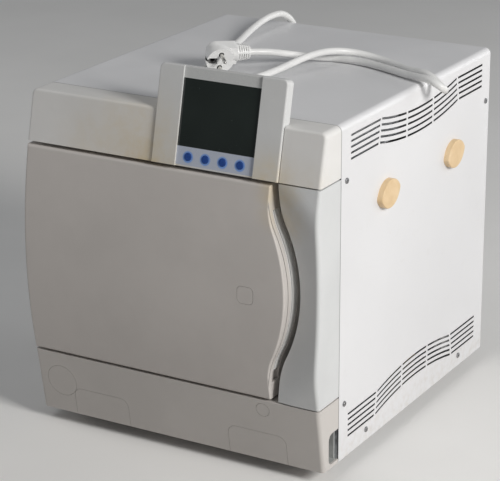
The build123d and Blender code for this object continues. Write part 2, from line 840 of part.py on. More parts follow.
def column_block(inset, x1, y_back):
    z0 = COLUMN_LOW + inset
    z1 = COLUMN_TOP - inset
    body = bow_block(inset, z0, z1, DOOR_EDGE_X, x1, y_back)
    side = right_of_edge(GRIP_GAP + inset, x1 + 1, z0, z1)
    return (body & facing(side, y_back + 1, -DOOR_REACH - 5)) - scoop(inset)


def is_column_corner(edge, inset, x1):
    """The front edges along the column's right side."""
    low = edge @ 0
    top = edge @ 1
    upright = abs(low.X - x1) < 0.1 and abs(top.X - x1) < 0.1 and abs(top.Z - low.Z) > 1
    return upright and (edge @ 0.5).Y < -DOOR_REACH / 2


def scoop(inset):
    """A shallow cone about the chamber's axis, deepest at the door's swell."""
    start_r = SWELL_R + GRIP_GAP
    floor_y = -DOOR_REACH + SCOOP_DEPTH + inset / cos(atan2(SCOOP_SLOPE, 1))
    r0 = start_r - 30
    r1 = start_r + 80
    y0 = floor_y + 30 * SCOOP_SLOPE
    y1 = floor_y - 80 * SCOOP_SLOPE
    return turned([(r0, y0), (r1, y1), (r1, -DOOR_REACH - 40), (r0, -DOOR_REACH - 40)], AXIS_X, AXIS_Z)


def plinth_block(inset, x1, y_back):
    lean = (PLINTH_TOP_REACH - PLINTH_LOW_REACH) / PLINTH_TOP
    skin = inset * sqrt(1 + lean**2)
    low = inset
    top = PLINTH_TOP - inset
    low_y = -PLINTH_LOW_REACH + skin - lean * low
    top_y = -PLINTH_LOW_REACH + skin - lean * top
    return across([(y_back, low), (low_y, low), (top_y, top), (y_back, top)], -x1, x1)


def plinth():
    body = plinth_block(0, HALF_W, 0)
    rim = [e for e in body.edges() if is_plinth_front(e)]
    body = fillet(rim, EDGE_R)
    body = body - plinth_block(WALL, HALF_W - WALL, 1)
    body = body - on_plinth(Circle(FILTER_R + SNAP_GAP), FILTER_X, FILTER_V)
    body = body - on_plinth(Circle(RESET_R + SNAP_GAP), RESET_X, RESET_V)
    for x in FLAP_X:
        body = body - on_plinth(flap_face(SNAP_GAP), x, 0)
    body = body - notch_cut(HALF_W - WALL - 1, HALF_W + 1)
    return body - rod("z", HINGE_X, HINGE_Y, PLINTH_TOP - WALL - 1, PLINTH_TOP + 1, PIN_R + 0.5)


def is_plinth_front(edge):
    mid = edge @ 0.5
    lean_y = -PLINTH_LOW_REACH - (PLINTH_TOP_REACH - PLINTH_LOW_REACH) * mid.Z / PLINTH_TOP
    return abs(mid.Y - lean_y) < 0.1 and 1 < mid.Z < PLINTH_TOP - 1


def on_plinth(sketch, x, v, deep=8.0, out=2.0):
    """An outline on the plinth's sloping face as a cutter or a plug."""
    flat = Plane(origin=(x, v, -deep), x_dir=(1, 0, 0), z_dir=(0, 0, 1))
    return local(PLINTH_FACE, extrude(flat * sketch, deep + out))


def flap_face(grow):
    """An arch, open below, with round upper corners."""
    half = FLAP_W / 2 + grow
    top = FLAP_H + grow
    radius = FLAP_R + grow
    face = Pos(0, (top - 10) / 2) * Rectangle(2 * half, top + 10)
    corners = [v for v in face.vertices() if v.Y > 0]
    return fillet(corners, radius)


def notch_outline(grow):
    """(Y, Z) outline of the switch notch: round in front, open to the metal cover behind."""
    y0 = -NOTCH_REACH - grow
    z0 = NOTCH_LOW - grow
    z1 = NOTCH_TOP + grow
    face = Pos(y0 / 2 + 2, (z0 + z1) / 2) * Rectangle(4 - y0, z1 - z0)
    corners = [v for v in face.vertices() if v.X < -1]
    return fillet(corners, NOTCH_R + grow)


def notch_cut(x0, x1, grow=0.0):
    plane = Plane(origin=(x0, 0, 0), x_dir=(0, 1, 0), z_dir=(1, 0, 0))
    return extrude(plane * notch_outline(grow), x1 - x0)


def snap_cap(sketch, lip_sketch, x, v):
    """A cap flush with the plinth's face, held by a lip behind the wall."""
    flat = Plane(origin=(x, v, -WALL), x_dir=(1, 0, 0), z_dir=(0, 0, 1))
    face = extrude(flat * sketch, WALL)
    behind = Plane(origin=(x, v, -WALL - SNAP_LIP), x_dir=(1, 0, 0), z_dir=(0, 0, 1))
    return local(PLINTH_FACE, face + extrude(behind * lip_sketch, SNAP_LIP))


def plinth_caps():
    """The sterile filter's round cap, and the small cap over the overheat reset.

    The large cap's lip stops short of the flap beside it.
    """
    flap = Pos(FLAP_X[0] - FILTER_X, -FILTER_V) * flap_face(SNAP_LIP + 0.5)
    filter_cap = snap_cap(Circle(FILTER_R), Circle(FILTER_R + SNAP_LIP) - flap, FILTER_X, FILTER_V)
    reset_cap = snap_cap(Circle(RESET_R), Circle(RESET_R + 0.7), RESET_X, RESET_V)
    return group([filter_cap, reset_cap])


def service_flaps():
    """Two arched flaps over the drain and the screen filter."""
    flaps = []
    for x in FLAP_X:
        body = snap_cap(flap_face(0), flap_face(SNAP_LIP), x, 0)
        flaps.append((body & block(-HALF_W, HALF_W, -80, 0, WALL + 0.2, 60)) + thin_foot(x))
    return group(flaps)


def thin_foot(x):
    """The flap's lower edge, which fills the cut through the plinth's floor."""
    return on_plinth(flap_face(0), x, 0, WALL, 0) & block(-HALF_W, HALF_W, -80, 0, 0, WALL + 0.2)


# Door


def door_block(inset):
    """The whole door as a full block, inset all round."""
    z0 = DOOR_LOW + inset
    z1 = DOOR_TOP - inset
    body = bow_block(inset, z0, z1, -HALF_W + inset, HALF_W, -DOOR_BACK - inset)
    body = body & facing(left_of_edge(-inset, -HALF_W, z0, z1), 0, -DOOR_REACH - 5)
    return body


def door_outside():
    """The whole door as a full block with round edges, tighter along the free edge."""
    body = door_block(0)
    rim = [e for e in front_edges(body, DOOR_LOW, DOOR_TOP) if (e @ 0.5).X < DOOR_EDGE_X - 1]
    body = fillet(rim, DOOR_RIM_R)
    free = [e for e in front_edges(body, DOOR_LOW, DOOR_TOP) if min((e @ 0).X, (e @ 1).X) > DOOR_EDGE_X - 1]
    body = fillet(free, FREE_EDGE_R)
    back_left = [e for e in body.edges().filter_by(Axis.Z) if is_hinge_corner(e @ 0.5)]
    return fillet(back_left, HINGE_CORNER_R)


def is_hinge_corner(mid):
    return mid.X < -HALF_W + 0.1 and mid.Y > -DOOR_BACK - 6


def in_front(y):
    """Everything in front of a plane across the door."""
    return block(-HALF_W - 5, HALF_W + 5, -DOOR_REACH - 20, y, 0, COVER_H)


def behind(y):
    """Everything behind a plane across the door."""
    return block(-HALF_W - 5, HALF_W + 5, y, 30, 0, COVER_H)


def door_shell(outside):
    """The bowed outer skin of the door."""
    skin = (outside & in_front(-DOOR_SPLIT)) - door_block(WALL)
    cap_hole = door_cap_sketch(SNAP_GAP)
    return skin - facing(cap_hole, -DOOR_SPLIT, -DOOR_REACH - 5) - edge_groove(EDGE_GROOVES[0], 0)


def edge_groove(depth, inset):
    """A shallow groove along the middle of the free edge, at a depth behind the panel's edge."""
    strip = edge_strip(5, 5 + inset + GROOVE_DEEP, AXIS_Z - GRIP_HALF, AXIS_Z + GRIP_HALF)
    return facing(strip, -depth + GROOVE_W / 2, -depth - GROOVE_W / 2)


def door_cap_sketch(grow):
    side = DOOR_CAP_W + 2 * grow
    return Pos(DOOR_CAP_X, DOOR_CAP_Z) * RectangleRounded(side, side, DOOR_CAP_R + grow)


def door_cap(outside):
    """A snap-in cap over the emergency release, flush with the door's skin."""
    face = outside & facing(door_cap_sketch(0), -DOOR_SPLIT, -DOOR_REACH - 5)
    face = face & in_front(-DOOR_REACH + WALL + 0.6)
    lip_y = -DOOR_REACH + WALL + 0.6
    lip = facing(door_cap_sketch(SNAP_LIP), lip_y + 1.6, lip_y)
    return face + lip


def door_liner(outside):
    """The inner moulding of the door, round the pressure lid."""
    body = outside & behind(-DOOR_SPLIT)
    body = body - (door_block(WALL) & behind(-DOOR_SPLIT - 5))
    body = body + tail_floor(outside)
    body = body - grip_pocket(GRIP_FIT)
    body = body - rod("y", AXIS_X, AXIS_Z, -20, 5, LID_R + LID_GAP)
    body = body - hook_slots(-15, 5)
    return body - rod("z", HINGE_X, HINGE_Y, DOOR_LOW - 5, DOOR_TOP + 5, PIN_R + 0.5)


def tail_floor(outside):
    """The thicker wall that the shallow end of the grip's pocket is cut in."""
    z0 = AXIS_Z - GRIP_HALF - LOCK_TRAVEL - 5
    depth = GRIP_INSET + GRIP_TAIL + GRIP_FIT
    floor = edge_strip(-1, depth + WALL - 1, z0, AXIS_Z - GRIP_HALF + GRIP_FIT)
    return facing(floor, GRIP_BACK_Y + GRIP_FIT + WALL, -DOOR_SPLIT) & outside


def hook_slots(y0, y1):
    """Room for the two hooks to pass through a wall, with their travel."""
    x0, x1 = hook_slot_x()
    cuts = []
    for z in hook_heights():
        cuts.append(block(x0, x1, y0, y1, z - LOCK_TRAVEL - HOOK_ROOM, z + HOOK_H + HOOK_ROOM))
    return cuts


def grip_pocket(grow):
    """The room that the sliding grip takes in the door's free edge, shallow below for its tail."""
    low = AXIS_Z - GRIP_HALF
    top = AXIS_Z + GRIP_HALF + grow
    deep = edge_strip(5, GRIP_THICK + 10, low + grow, top)
    shallow = edge_strip(5, 5 + GRIP_INSET + GRIP_TAIL + grow, low - LOCK_TRAVEL - grow, low + grow + 1)
    y_front = -DOOR_SPLIT - grow
    return facing(deep, GRIP_BACK_Y + grow, y_front) + facing(shallow, GRIP_BACK_Y + grow, y_front)


def grip():
    """The sliding grip, shaped like the door's edge, that locks the door when it is pushed down.

    Its lower end is a thin tail, so that the pocket below it can be shallow.
    """
    z0 = AXIS_Z - GRIP_HALF
    z1 = AXIS_Z + GRIP_HALF
    step = z0 + LOCK_TRAVEL + 2 * GRIP_FIT
    y_front = -DOOR_SPLIT + 0.5
    bar = facing(edge_strip(-GRIP_INSET, GRIP_THICK, step, z1), GRIP_BACK_Y, y_front)
    tail = facing(edge_strip(-GRIP_INSET, GRIP_TAIL, z0, step + 1), GRIP_BACK_Y, y_front)
    middle_x = AXIS_X + SWELL_R - GRIP_INSET - GRIP_THICK / 2
    bar_front = BAR_Y - BAR_T
    tab = block(BAR_X0, middle_x, bar_front - 8, bar_front, AXIS_Z - 20, AXIS_Z + 20)
    return bar + tail + tab - edge_groove(EDGE_GROOVES[1], GRIP_INSET)


def hook_heights():
    """Heights of the two hooks' arms above the panel's edge, unlocked."""
    return (AXIS_Z - HOOK_RISE, AXIS_Z + HOOK_RISE)


def hook_slot_x():
    """Left and right of the slots that the hooks pass through."""
    return (HOOK_X - HOOK_ROOM, HOOK_X + HOOK_W + HOOK_ROOM + 3)


def lock_bar():
    """The steel bar behind the grip, with two hooks that catch the strikers."""
    low, top = hook_heights()
    bar = block(BAR_X0, BAR_X1, BAR_Y - BAR_T, BAR_Y, low - BAR_OVER_LOW, top + HOOK_H + BAR_OVER_TOP)
    ends = [e for e in bar.edges().filter_by(Axis.Y) if (e @ 0.5).X > BAR_X1 - 1]
    bar = chamfer(ends, 6)
    for z in (low, top):
        arm = [(BAR_Y - 1, z), (HOOK_REACH, z), (HOOK_REACH, z + HOOK_H), (BAR_Y - 1, z + HOOK_H)]
        nose_y = HOOK_REACH - HOOK_THICK
        nose = [(nose_y, z - HOOK_NOSE), (HOOK_REACH - 2, z - HOOK_NOSE), (HOOK_REACH, z + 1), (nose_y, z + 1)]
        bar = bar + across(arm, HOOK_X, HOOK_X + HOOK_W) + across(nose, HOOK_X, HOOK_X + HOOK_W)
    return bar


def strikers():
    """The slotted plate behind the front frame, and on it two forks with a pin for each hook."""
    low = AXIS_Z - PLATE_HALF
    top = AXIS_Z + PLATE_HALF
    y0 = SHEET + PLATE_T
    plate = block(PLATE_X0, PLATE_X1, SHEET, y0, low, top) - hook_slots(SHEET - 1, y0 + 1)
    plate = plate - rod("y", AXIS_X, AXIS_Z, SHEET - 1, y0 + 1, FLANGE_R + OPENING_FIT)
    return group([plate] + [striker_fork(z) for z in hook_heights()])


def striker_fork(z):
    """Two ears and the pin that a hook goes behind."""
    x0, x1 = hook_slot_x()
    pin_y = HOOK_REACH - HOOK_THICK - 1 - STRIKER_PIN_R
    pin_z = z - LOCK_TRAVEL - SHEET_GAP - STRIKER_PIN_R
    fork = rod("x", pin_y, pin_z, x0 - 1 - STRIKER_EAR, x1 + 1 + STRIKER_EAR, STRIKER_PIN_R)
    for x in (x0 - 1 - STRIKER_EAR, x1 + 1):
        fork = fork + block(x, x + STRIKER_EAR, SHEET + PLATE_T, pin_y + 8, pin_z - 10, pin_z + 10)
    return fork


def door_carrier():
    """The steel plate that hangs the lid on the hinge and guides the lock bar."""
    y0 = HINGE_Y - CARRIER_T / 2
    y1 = HINGE_Y + CARRIER_T / 2
    low, top = knuckle_heights()
    half = CARRIER_HALF
    body = block(HINGE_X, AXIS_X + half, y0, y1, AXIS_Z - half, AXIS_Z + half)
    body = body + block(AXIS_X - half, AXIS_X + half, y0, y1, low, top + KNUCKLE_LEN)
    for z in (low, top):
        body = body + block(HINGE_X, AXIS_X + half, y0, y1, z, z + KNUCKLE_LEN)
        body = body + rod("z", HINGE_X, HINGE_Y, z, z + KNUCKLE_LEN, KNUCKLE_R)
        body = body - rod("z", HINGE_X, HINGE_Y, z - 1, z + KNUCKLE_LEN + 1, PIN_R + PIN_FIT + BUSH_WALL)
    low_hook, top_hook = hook_heights()
    for z in (low_hook + 20, top_hook - 36):
        body = body + bar_guide(z, y0, y1)
    return body - block(HINGE_X - 12, HINGE_X + 14, -50, 0, low + KNUCKLE_LEN, top)


def bar_guide(z, y0, y1):
    """An arm of the carrier with two posts that the lock bar slides between."""
    arm = block(AXIS_X + CARRIER_HALF - 5, BAR_X1 + 6, y0, y1, z, z + 16)
    left = block(BAR_X0 - 5, BAR_X0 - 0.4, BAR_Y - BAR_T, y0, z, z + 16)
    right = block(BAR_X1 + 0.4, BAR_X1 + 6, BAR_Y - BAR_T, y0, z, z + 16)
    return arm + left + right


def knuckle_heights():
    """Lower ends of the two knuckles."""
    return (DOOR_LOW + KNUCKLE_IN, DOOR_TOP - KNUCKLE_IN - KNUCKLE_LEN)


def hinge_bushes():
    """Plastic bushes in the carrier's knuckles."""
    bushes = []
    for z in knuckle_heights():
        bore = PIN_R + PIN_FIT
        sleeve = tube("z", HINGE_X, HINGE_Y, z, z + KNUCKLE_LEN, bore + BUSH_WALL, bore)
        low = tube("z", HINGE_X, HINGE_Y, z - 2, z, KNUCKLE_R - 0.5, bore)
        bushes.append(sleeve + low)
    return group(bushes)


def hinge_pin():
    """The long pin that the door turns on, with a head above the upper bracket."""
    top = BRACKET_TOP + BRACKET_T
    pin = rod("z", HINGE_X, HINGE_Y, BRACKET_LOW - 6, top, PIN_R)
    return pin + rod("z", HINGE_X, HINGE_Y, top, top + PIN_HEAD_T, PIN_R + 3)


def hinge_brackets():
    """Two steel angles on the front frame that hold the pin's ends."""
    brackets = []
    for z, down, up in ((BRACKET_LOW, 8, 0), (BRACKET_TOP, 0, 20)):
        tongue = block(HINGE_X - 9, HINGE_X + 22, HINGE_Y - 9, 0, z, z + BRACKET_T)
        foot = block(HINGE_X - 9, HINGE_X + 22, -BRACKET_T, 0, z - down, z + BRACKET_T + up)
        hole = rod("z", HINGE_X, HINGE_Y, z - 1, z + BRACKET_T + 1, PIN_R)
        brackets.append(tongue + foot - hole)
    return group(brackets)


def pressure_lid():
    """The round steel lid: a rim with the seal's groove, a dished middle and a boss."""
    back = -LID_BACK
    rim_y = back - LID_T
    boss_y = HINGE_Y + CARRIER_T / 2
    points = [
        (0, boss_y),
        (LID_HUB_R, boss_y),
        (LID_HUB_R, rim_y - 2),
        (LID_R - 14, rim_y),
        (LID_R, rim_y),
        (LID_R, back),
        (SEAL_R + SEAL_W / 2, back),
        (SEAL_R + SEAL_W / 2, back - SEAL_D),
        (SEAL_R - SEAL_W / 2, back - SEAL_D),
        (SEAL_R - SEAL_W / 2, back),
        (SEAL_R - 10, back),
        (LID_DISH_R, back - 3),
        (0, back - 3),
    ]
    return turned(points, AXIS_X, AXIS_Z)


def lid_gasket():
    """The silicone ring in the lid's groove."""
    back = -LID_BACK
    outer = SEAL_R + SEAL_W / 2
    inner = SEAL_R - SEAL_W / 2
    lip = -FLANGE_FACE - SEAL_GAP
    points = [
        (inner, back - SEAL_D),
        (outer, back - SEAL_D),
        (outer, back),
        (outer - 1, lip),
        (inner + 1, lip),
        (inner, back),
    ]
    return turned(points, AXIS_X, AXIS_Z)


def lid_bolt():
    """The bolt and washer that hold the lid on the carrier."""
    front = HINGE_Y - CARRIER_T / 2
    washer = rod("y", AXIS_X, AXIS_Z, front - 2, front, 14)
    plane = Plane(origin=(AXIS_X, front - 2, AXIS_Z), x_dir=(1, 0, 0), z_dir=(0, -1, 0))
    head = extrude(plane * RegularPolygon(10, 6), 7)
    return washer + head


# Chamber and plant


def dish(inset):
    """The rounded back of the vessel as a full block, behind the end of its straight shell."""
    apex = CHAMBER_D + CHAMBER_DISH + inset
    ball_r = (CHAMBER_R**2 + CHAMBER_DISH**2) / (2 * CHAMBER_DISH) + inset
    ball = Pos(AXIS_X, apex - ball_r, AXIS_Z) * Sphere(ball_r)
    return ball & rod("y", AXIS_X, AXIS_Z, CHAMBER_D, apex + 1, CHAMBER_R + inset)


def chamber():
    """The pressure vessel: flange, straight shell and dished back, with three bosses behind."""
    nose = -FLANGE_FACE
    outer_r = CHAMBER_R + CHAMBER_WALL
    vessel = rod("y", AXIS_X, AXIS_Z, SHEET, CHAMBER_D, outer_r) + dish(CHAMBER_WALL)
    vessel = vessel + rod("y", AXIS_X, AXIS_Z, nose, SHEET, FLANGE_NOSE_R)
    vessel = vessel + rod("y", AXIS_X, AXIS_Z, SHEET, SHEET + FLANGE_T, FLANGE_R)
    for x, z in (PIPE_STEAM, PIPE_DRAIN, (AXIS_X, AXIS_Z)):
        vessel = vessel + rod("y", x, z, CHAMBER_D + 1, BOSS_Y, BOSS_R)
    return vessel - rod("y", AXIS_X, AXIS_Z, nose - 1, CHAMBER_D, CHAMBER_R) - dish(0)


def chamber_insulation():
    """A sleeve of mineral wool round the shell."""
    r_in = CHAMBER_R + CHAMBER_WALL
    return tube("y", AXIS_X, AXIS_Z, SHEET + FLANGE_T, CHAMBER_D, r_in + INSULATION, r_in)


def chamber_saddles():
    """Two plates that carry the insulated chamber on the floor."""
    plates = []
    radius = CHAMBER_R + CHAMBER_WALL + INSULATION
    x0 = AXIS_X - SADDLE_HALF
    x1 = AXIS_X + SADDLE_HALF
    for y in SADDLE_Y:
        plate = block(x0, x1, y, y + SADDLE_T, FLOOR_TOP, AXIS_Z - SADDLE_DROP)
        plate = plate - rod("y", AXIS_X, AXIS_Z, y - 1, y + SADDLE_T + 1, radius)
        plates.append(plate)
    return group(plates)


def steam_generator():
    """An upright boiler with a flange, a domed top and a heater band."""
    floor = FLOOR_TOP
    points = [
        (0, floor),
        (GENERATOR_R, floor),
        (GENERATOR_R, floor + 8),
        (GENERATOR_R - 5, floor + 8),
        (GENERATOR_R - 5, 60),
        (GENERATOR_R - 2, 60),
        (GENERATOR_R - 2, 150),
        (GENERATOR_R - 5, 150),
        (GENERATOR_R - 5, GENERATOR_TOP - 26),
        (GENERATOR_R - 12, GENERATOR_TOP - 12),
        (8, GENERATOR_TOP - 8),
        (8, GENERATOR_TOP),
        (0, GENERATOR_TOP),
    ]
    body = revolve(Plane.XZ * Polygon(*points, align=None), Axis.Z)
    return Pos(GENERATOR_X, GENERATOR_Y, 0) * body


def pump_motor():
    """The motor of the vacuum pump, ribbed along its length, on a foot."""
    body = rod("y", PUMP_X, PUMP_Z, MOTOR_Y0, MOTOR_Y1, MOTOR_R)
    for turn in range(0, 360, 30):
        rib = Pos(PUMP_X, (MOTOR_Y0 + MOTOR_Y1) / 2, PUMP_Z) * Rot(0, turn, 0) * Pos(MOTOR_R, 0, 0)
        body = body + rib * Box(8, MOTOR_Y1 - MOTOR_Y0 - 30, 3)
    foot = block(PUMP_X - 30, PUMP_X + 30, MOTOR_Y0 + 10, MOTOR_Y1 - 10, FLOOR_TOP, PUMP_Z - 26)
    return body + foot


def vacuum_pump():
    """The pump head: a housing with two ports on top."""
    body = block(PUMP_X - MOTOR_R, PUMP_X + MOTOR_R, MOTOR_Y1, PUMP_Y1, FLOOR_TOP, PUMP_Z + PUMP_RISE)
    body = fillet(body.edges().filter_by(Axis.Y), 8)
    for y in (MOTOR_Y1 + PORT_IN, PUMP_Y1 - PORT_IN):
        body = body + rod("z", PUMP_X, y, PUMP_Z + PUMP_RISE - 2, PUMP_Z + PORT_RISE, PORT_R)
    return body


def valve_block():
    """A brass manifold on the floor with four solenoid valves."""
    low = VALVES_TOP - 44
    body = block(VALVES_X - 20, VALVES_X + 20, VALVES_Y[0] - 22, VALVES_Y[-1] + 22, FLOOR_TOP, low)
    for y in VALVES_Y:
        body = body + rod("z", VALVES_X, y, low - 1, VALVES_TOP - 12, 14)
        body = body + rod("z", VALVES_X, y, VALVES_TOP - 13, VALVES_TOP, 6)
    return body


def safety_valve():
    """The valve at the chamber's back, its cap standing out of the rear panel."""
    end = COVER_D + REAR_REACH - 4
    points = [
        (0, BOSS_Y),
        (6, BOSS_Y),
        (6, BOSS_Y + 14),
        (VALVE_R - 3, BOSS_Y + 18),
        (VALVE_R - 3, BACK_Y - SHEET - 6),
        (VALVE_R, BACK_Y - SHEET - 6),
        (VALVE_R, BACK_Y + 6),
        (VALVE_R - 3, end),
        (0, end),
    ]
    return turned(points, AXIS_X, AXIS_Z)


def pipe_along(points, radius, bend):
    """A round pipe along straight runs with bends."""
    path = FilletPolyline(*points, radius=bend)
    return sweep(Plane(path ^ 0) * Circle(radius), path=path)


def steam_pipes():
    """Copper pipes: boiler to chamber, and chamber drain to the valves."""
    steam_x, steam_z = PIPE_STEAM
    drain_x, drain_z = PIPE_DRAIN
    back = BOSS_Y + PIPE_BACK
    steam = [
        (GENERATOR_X, GENERATOR_Y, GENERATOR_TOP),
        (GENERATOR_X, GENERATOR_Y, steam_z),
        (GENERATOR_X, back, steam_z),
        (steam_x, back, steam_z),
        (steam_x, BOSS_Y, steam_z),
    ]
    low = VALVES_TOP + 26
    drain = [
        (drain_x, BOSS_Y, drain_z),
        (drain_x, back, drain_z),
        (VALVES_X, back, drain_z),
        (VALVES_X, back, low),
        (VALVES_X, VALVES_Y[-1], low),
        (VALVES_X, VALVES_Y[-1], VALVES_TOP),
    ]
    return group([pipe_along(points, PIPE_R, PIPE_BEND) for points in (steam, drain)])


def fan_shroud():
    """The square frame of the fan, with arms that hold its axle."""
    y0 = BACK_Y - SHEET - FAN_DEEP
    y1 = BACK_Y - SHEET
    half = FAN_W / 2
    body = block(FAN_X - half, FAN_X + half, y0, y1, FAN_Z - half, FAN_Z + half)
    body = fillet(body.edges().filter_by(Axis.Y), 4)
    body = body - rod("y", FAN_X, FAN_Z, y0 - 1, y1 + 1, FAN_DUCT_R)
    for turn in (45, 135):
        arm = Pos(FAN_X, y0 + 1.5, FAN_Z) * Rot(0, turn, 0) * Box(2 * FAN_DUCT_R + 4, 3, 5)
        body = body + arm
    body = body + rod("y", FAN_X, FAN_Z, y0, y0 + 4, 12)
    return body + rod("y", FAN_X, FAN_Z, y0 + 3, y1 - 5, FAN_SHAFT_R)


def fan_rotor():
    """The hub with its twisted blades."""
    y0 = BACK_Y - SHEET - FAN_DEEP + 5
    y1 = BACK_Y - SHEET - 2
    hub = rod("y", FAN_X, FAN_Z, y0, y1, FAN_HUB_R)
    rim = [e for e in hub.edges().filter_by(GeomType.CIRCLE) if (e @ 0).Y > y1 - 0.1]
    hub = fillet(rim, 2)
    blade_len = FAN_TIP_R - FAN_HUB_R + 3
    for number in range(FAN_BLADES):
        spoke = Rot(0, 360 / FAN_BLADES * number, 0) * Pos(FAN_HUB_R - 3 + blade_len / 2, 0, 0)
        blade = spoke * Rot(35, 0, 0) * Box(blade_len, 20, 1.6)
        hub = hub + Pos(FAN_X, (y0 + y1) / 2, FAN_Z) * blade
    hub = hub & rod("y", FAN_X, FAN_Z, y0, y1, FAN_TIP_R)
    return hub - rod("y", FAN_X, FAN_Z, y0 - 1, y1 - 2, FAN_SHAFT_R + FAN_FIT)


def condenser():
    """The finned cooler in front of the fan."""
    y1 = BACK_Y - SHEET - FAN_DEEP
    y0 = y1 - CONDENSER_T
    half = FAN_W / 2 - 4
    inside = half - 6
    body = block(FAN_X - half, FAN_X + half, y0, y1, FAN_Z - half, FAN_Z + half)
    for number in range(CONDENSER_FINS):
        x = FAN_X - inside + number * CONDENSER_PITCH
        body = body - block(x, x + CONDENSER_PITCH / 2, y0 - 1, y1 - 4, FAN_Z - inside, FAN_Z + inside)
    return body


def control_board():
    """The main board on posts on the shelf, with its relays, chip, heat sink and terminals."""
    top = SHELF_Z + SHEET
    x0, x1, y0, y1 = CONTROL_X0, CONTROL_X1, CONTROL_Y0, CONTROL_Y1
    face = top + 6 + BOARD_T
    body = block(x0, x1, y0, y1, top + 6, face)
    for x in (x0 + 6, x1 - 6):
        for y in (y0 + 6, y1 - 6):
            body = body + rod("z", x, y, top, top + 6.5, 3)
    for number in range(5):
        x = x0 + 10 + 22 * number
        body = body + block(x, x + 15, y1 - 40, y1 - 22, face - 0.5, face + 15)
    chip_x, chip_y, chip = x0 + CHIP_IN[0], y0 + CHIP_IN[1], CHIP_SIDE
    body = body + block(chip_x, chip_x + chip, chip_y, chip_y + chip, face - 0.5, face + CHIP_H)
    sink_x, sink_y = x1 - SINK_IN[0], y0 + SINK_IN[1]
    body = body + block(
        sink_x - SINK_SIZE[0], sink_x, sink_y, sink_y + SINK_SIZE[1], face - 0.5, face + SINK_SIZE[2]
    )
    long, deep, high = TERMINAL_SIZE
    x, y = x0 + TERMINAL_IN, y0 + TERMINAL_IN
    return body + block(x, x + long, y, y + deep, face - 0.5, face + high)


def power_supply():
    """The power supply in a vented box on the shelf."""
    top = SHELF_Z + SHEET
    body = block(SUPPLY_X0, SUPPLY_X1, SUPPLY_Y0, SUPPLY_Y1, top, top + SUPPLY_H)
    vents = 8
    pitch = (SUPPLY_Y1 - SUPPLY_Y0) / (vents + 2)
    for number in range(vents):
        y = SUPPLY_Y0 + pitch * (number + 1.2)
        body = body - block(SUPPLY_X0 + 10, SUPPLY_X1 - 10, y, y + 5, top + SUPPLY_H - 2, top + SUPPLY_H + 1)
    return body


def rear_connectors():
    """Three hose barbs for feed water, drain and exhaust."""
    barbs = []
    for x in CONNECTOR_X:
        y0 = BACK_Y - SHEET
        end = COVER_D + REAR_REACH
        points = [
            (2.5, y0 - 10),
            (CONNECTOR_R, y0 - 10),
            (CONNECTOR_R, BACK_Y),
            (CONNECTOR_R + 3, BACK_Y),
            (CONNECTOR_R + 3, BACK_Y + 4),
            (CONNECTOR_R - 1.5, BACK_Y + 4),
            (CONNECTOR_R - 0.5, BACK_Y + 8),
            (CONNECTOR_R - 1.8, BACK_Y + 8),
            (CONNECTOR_R - 0.5, BACK_Y + 12),
            (CONNECTOR_R - 2, end),
            (2.5, end),
        ]
        barbs.append(turned(points, x, CONNECTOR_Z))
    return group(barbs)


# Mains switch


def switch_face_x():
    return HALF_W - WALL - SWITCH_INSET


def around_switch(x0, x1, grow):
    """A block along X round the rocker's outline."""
    y, z = SWITCH_PLACE
    half_w = ROCKER_W / 2 + grow
    half_h = ROCKER_H / 2 + grow
    return block(x0, x1, y - half_w, y + half_w, z - half_h, z + half_h)


def switch_bracket():
    """The sheet box behind the notch that carries the switch."""
    skin = BRACKET_SHEET
    x0 = switch_face_x() - skin
    x1 = HALF_W - WALL
    y0 = -NOTCH_REACH - 4
    z1 = NOTCH_TOP + 5
    body = block(x0, x1, y0, 0, WALL, z1)
    body = body - block(x0 + skin, x1 + 1, y0 + skin, 1, WALL + skin, z1 - skin)
    body = body + block(x0 + skin, x1 - WALL, -skin, 0, WALL + skin, z1 - skin)
    return body - around_switch(x0 - 1, x0 + 3, SWITCH_WALL)


def rocker_axle(radius, reach):
    """The rocker's axle along Y, through its pivot."""
    y, z = SWITCH_PLACE
    return rod("y", switch_face_x() - ROCKER_PIVOT_IN, z, y - reach, y + reach, radius)


def mains_switch():
    """The switch housing clipped in the bracket, open in front for the rocker."""
    face = switch_face_x()
    body = around_switch(face - SWITCH_DEEP, face, SWITCH_WALL)
    body = body + around_switch(face, face + 2, SWITCH_WALL + 1.5)
    body = body - around_switch(face - 10, face + 3, 0.5)
    return body - rocker_axle(ROCKER_AXLE_R + ROCKER_FIT, ROCKER_W / 2 + SWITCH_WALL - 0.1)


def mains_rocker():
    """The rocker, a shallow V in section, tipped to off with its lower end out."""
    face = switch_face_x()
    sy, sz = SWITCH_PLACE
    half = ROCKER_H / 2
    pivot_x = face - ROCKER_PIVOT_IN
    rise = half * sin(radians(ROCKER_TILT))
    points = [
        (pivot_x - 2.5, sz - half + 4),
        (face + 1.5 + rise, sz - half + 0.8),
        (face + 1.2, sz),
        (face + 1.5 + rise, sz + half - 0.8),
        (pivot_x - 2.5, sz + half - 4),
    ]
    flat = facing(Polygon(*points, align=None), sy + ROCKER_W / 2, sy - ROCKER_W / 2)
    pivot = Pos(pivot_x, sy, sz)
    tipped = pivot * Rot(0, -ROCKER_TILT, 0) * pivot.inverse() * flat
    return tipped + rocker_axle(ROCKER_AXLE_R, ROCKER_W / 2 + SWITCH_WALL - 0.5)


# Display unit


def on_display(x0, x1, v0, v1, n0, n1):
    return local(DISPLAY_FACE, block(x0, x1, v0, v1, n0, n1))


def channel_x():
    """Left and right of the recess between the display's cheeks."""
    return (DISPLAY_X0 + CHEEK_W, DISPLAY_X1 - CHEEK_W)


